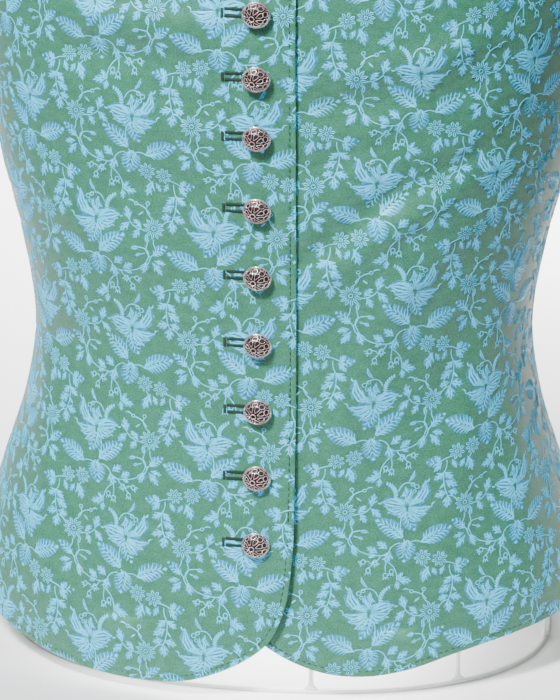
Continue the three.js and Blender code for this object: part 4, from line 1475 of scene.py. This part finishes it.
class WAISTCOAT_OT_form(bpy.types.Operator):
    """Makes the smooth dress form with its foot ring and posts"""

    bl_idname = "waistcoat.form"
    bl_label = "Dress form"

    def execute(self, context):
        # Moulded polypropylene: white, slightly uneven gloss, no grain.
        colours = context.scene.waistcoat_colours
        material = plain_material("polypropylene_moulded", colours.form, 0.42)
        ease = lambda z: float(read_rows(EASE[:, 0], EASE[:, 1], z))
        rows = []
        for turn in (0.0, 0.25, 0.5, 0.75, 1.0):  # the rounded lower edge
            inset = TORSO_EDGE * (1 - math.sin(turn * math.pi / 2))
            z = FORM_BASE + TORSO_EDGE * (1 - math.cos(turn * math.pi / 2))
            rows.append((FORM_BASE + TORSO_EDGE, ease(FORM_BASE) + inset, z))
        for z in np.concatenate([np.linspace(*stretch) for stretch in TORSO_ROWS]):
            rows.append((float(up_at_height(z)), ease(z), math.nan))
        for turn in (0.25, 0.5, 0.75, 1.0):  # and the neck's upper edge
            inset = TORSO_EDGE * (1 - math.cos(turn * math.pi / 2))
            z = NECK_TOP + TORSO_EDGE * math.sin(turn * math.pi / 2)
            rows.append((float(up_at_height(NECK_TOP)), ease(NECK_TOP) + inset, z))
        table = np.array(rows)
        bm = bmesh.new()
        wrap_round(
            bm, TORSO_COLUMNS, len(rows) - 1, lambda share, row: torso_point(share, *table[row].T))
        bmesh.ops.holes_fill(bm, edges=bm.edges, sides=0)
        bmesh.ops.recalc_face_normals(bm, faces=bm.faces)
        torso = new_piece("form_torso_smooth", bm, [material])
        for polygon in torso.data.polygons:
            polygon.use_smooth = len(polygon.vertices) < 5
        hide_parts("form_torso")

        line, way = ring_points()
        bar = np.array(BAR_SECTION) * (FOOT_RING["wide"], FOOT_RING["high"])
        slope = np.gradient(line, axis=0)
        slope[0] = slope[-1] = (1, 0)
        slope /= np.linalg.norm(slope, axis=1, keepdims=True)
        at_way = lambda at, values, k: np.interp(at, way, values[:, k])
        place = lambda share, row: to_metres(np.stack([
            at_way(share * way[-1], line, 0) + at_way(share * way[-1], slope, 1) * bar[row, 0],
            at_way(share * way[-1], line, 1) - at_way(share * way[-1], slope, 0) * bar[row, 0],
            bar[row, 1]], axis=1))
        bm = bmesh.new()
        wrap_round(bm, RING_COLUMNS, len(bar) - 1, place)
        bmesh.ops.remove_doubles(bm, verts=bm.verts, dist=1e-6)
        bmesh.ops.recalc_face_normals(bm, faces=bm.faces)
        ring = new_piece("foot_ring_smooth", bm, [material])
        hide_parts("form_foot_ring")

        bottom = FOOT_RING["high"] + FIT_GAP
        top = FORM_BASE - FIT_GAP
        for number in range(STRUT_COUNT):
            share = (STRUT_FIRST + number / STRUT_COUNT * way[-1]) % way[-1]
            foot = Vector([at_way(share, line, k) for k in (0, 1)])
            lean = math.atan2(*[at_way(share, slope, k) for k in (1, 0)])
            bm = bmesh.new()
            lathe(bm, [
                *((radius, bottom + z) for radius, z in POST_FOOT),
                *((radius, top - z) for radius, z in POST_HEAD)], 16)
            for vertex in bm.verts:  # the foot spreads along the ring like a weld
                fade = math.exp(-(vertex.co.z - bottom) / POST_SPREAD["fade"])
                vertex.co.x *= 1 + POST_SPREAD["share"] * fade
            bmesh.ops.recalc_face_normals(bm, faces=bm.faces)
            bmesh.ops.transform(bm, verts=bm.verts, matrix=Matrix.Rotation(lean, 4, "Z"))
            move_to(bm.verts, to_metres(places_of(bm) + (foot.x, foot.y, 0)))
            post = new_piece(f"post_{number + 1:02d}", bm, [material])
            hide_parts(f"form_strut_{number + 1:02d}")
        return {"FINISHED"}


class WAISTCOAT_OT_cut(bpy.types.Operator):
    """Works out the cut outline of each piece of cloth, in metres, and keeps nothing of it"""

    bl_idname = "waistcoat.cut"
    bl_label = "Cut sizes"

    def execute(self, context):
        for name in PIECES:
            loop = outline(name, OUTLINE_STEPS)[0] * MM
        return {"FINISHED"}


class WAISTCOAT_OT_studio(bpy.types.Operator):
    """Sets the floor, the soft lights and the camera"""

    bl_idname = "waistcoat.studio"
    bl_label = "Studio"

    def execute(self, context):
        # Painted board: pale, even and without gloss.
        colours = context.scene.waistcoat_colours
        floor_paint = plain_material("painted_board_rolled", colours.floor, 0.85)
        bm = bmesh.new()
        bmesh.ops.create_grid(bm, x_segments=1, y_segments=1, size=FLOOR_SIZE)
        floor = new_piece("floor", bm, [floor_paint])
        floor.parent = None

        world = bpy.data.worlds.new("studio")
        world.use_nodes = True
        background = world.node_tree.nodes["Background"]
        background.inputs["Color"].default_value = (1, 1, 1, 1)
        background.inputs["Strength"].default_value = SKY
        context.scene.world = world
        for name, place, aim, size, spread, power in LIGHTS:
            data = bpy.data.lights.new(name, "AREA")
            data.size = size
            data.spread = math.radians(spread)
            data.energy = power
            light = bpy.data.objects.new(name, data)
            light.location = place
            light.rotation_euler = (Vector(place) - Vector(aim)).to_track_quat("Z", "Y").to_euler()
            context.collection.objects.link(light)

        data = bpy.data.cameras.new("camera")
        data.sensor_fit = "HORIZONTAL"
        data.sensor_width = CAMERA["sensor"]
        across = CAMERA["picture_wide"] * CAMERA["pixel"] * MM
        data.lens = CAMERA["sensor"] * CAMERA["distance"] / across
        camera = bpy.data.objects.new("camera", data)
        azimuth, elevation = math.radians(CAMERA["azimuth"]), math.radians(CAMERA["elevation"])
        level = math.cos(elevation)
        back = Vector((
            math.sin(azimuth) * level, -math.cos(azimuth) * level, math.sin(elevation)))
        target = Vector(to_metres(np.array(CAMERA["target"], float)))
        camera.location = target + back * CAMERA["distance"]
        roll = Quaternion((0, 0, 1), math.radians(CAMERA["roll"]))
        camera.rotation_euler = (back.to_track_quat("Z", "Y") @ roll).to_euler()
        context.collection.objects.link(camera)
        context.scene.camera = camera
        return {"FINISHED"}


STEPS = ("cloth", "flowers", "stitching", "buttonholes", "buttons", "form", "cut", "studio")


class WAISTCOAT_PT_steps(bpy.types.Panel):
    """Lists the steps that build the waistcoat, and its settings"""

    bl_label = "Waistcoat"
    bl_idname = "WAISTCOAT_PT_steps"
    bl_space_type = "VIEW_3D"
    bl_region_type = "UI"
    bl_category = "Waistcoat"

    def draw(self, context):
        for step in STEPS:
            self.layout.operator(f"waistcoat.{step}")
        for group in (context.scene.waistcoat_sizes, context.scene.waistcoat_colours):
            for name in group.bl_rna.properties.keys():
                if name not in ("rna_type", "name"):
                    self.layout.prop(group, name)


CLASSES = (
    WaistcoatSizes, WaistcoatColours, WAISTCOAT_OT_cloth, WAISTCOAT_OT_flowers,
    WAISTCOAT_OT_stitching, WAISTCOAT_OT_buttonholes, WAISTCOAT_OT_buttons, WAISTCOAT_OT_form,
    WAISTCOAT_OT_cut, WAISTCOAT_OT_studio, WAISTCOAT_PT_steps,
)


def register():
    for one in CLASSES:
        bpy.utils.register_class(one)
    bpy.types.Scene.waistcoat_sizes = bpy.props.PointerProperty(type=WaistcoatSizes)
    bpy.types.Scene.waistcoat_colours = bpy.props.PointerProperty(type=WaistcoatColours)


def unregister():
    del bpy.types.Scene.waistcoat_colours
    del bpy.types.Scene.waistcoat_sizes
    for one in reversed(CLASSES):
        bpy.utils.unregister_class(one)


def main():
    register()
    for step in STEPS:
        getattr(bpy.ops.waistcoat, step)()


if __name__ == "__main__":
    main()
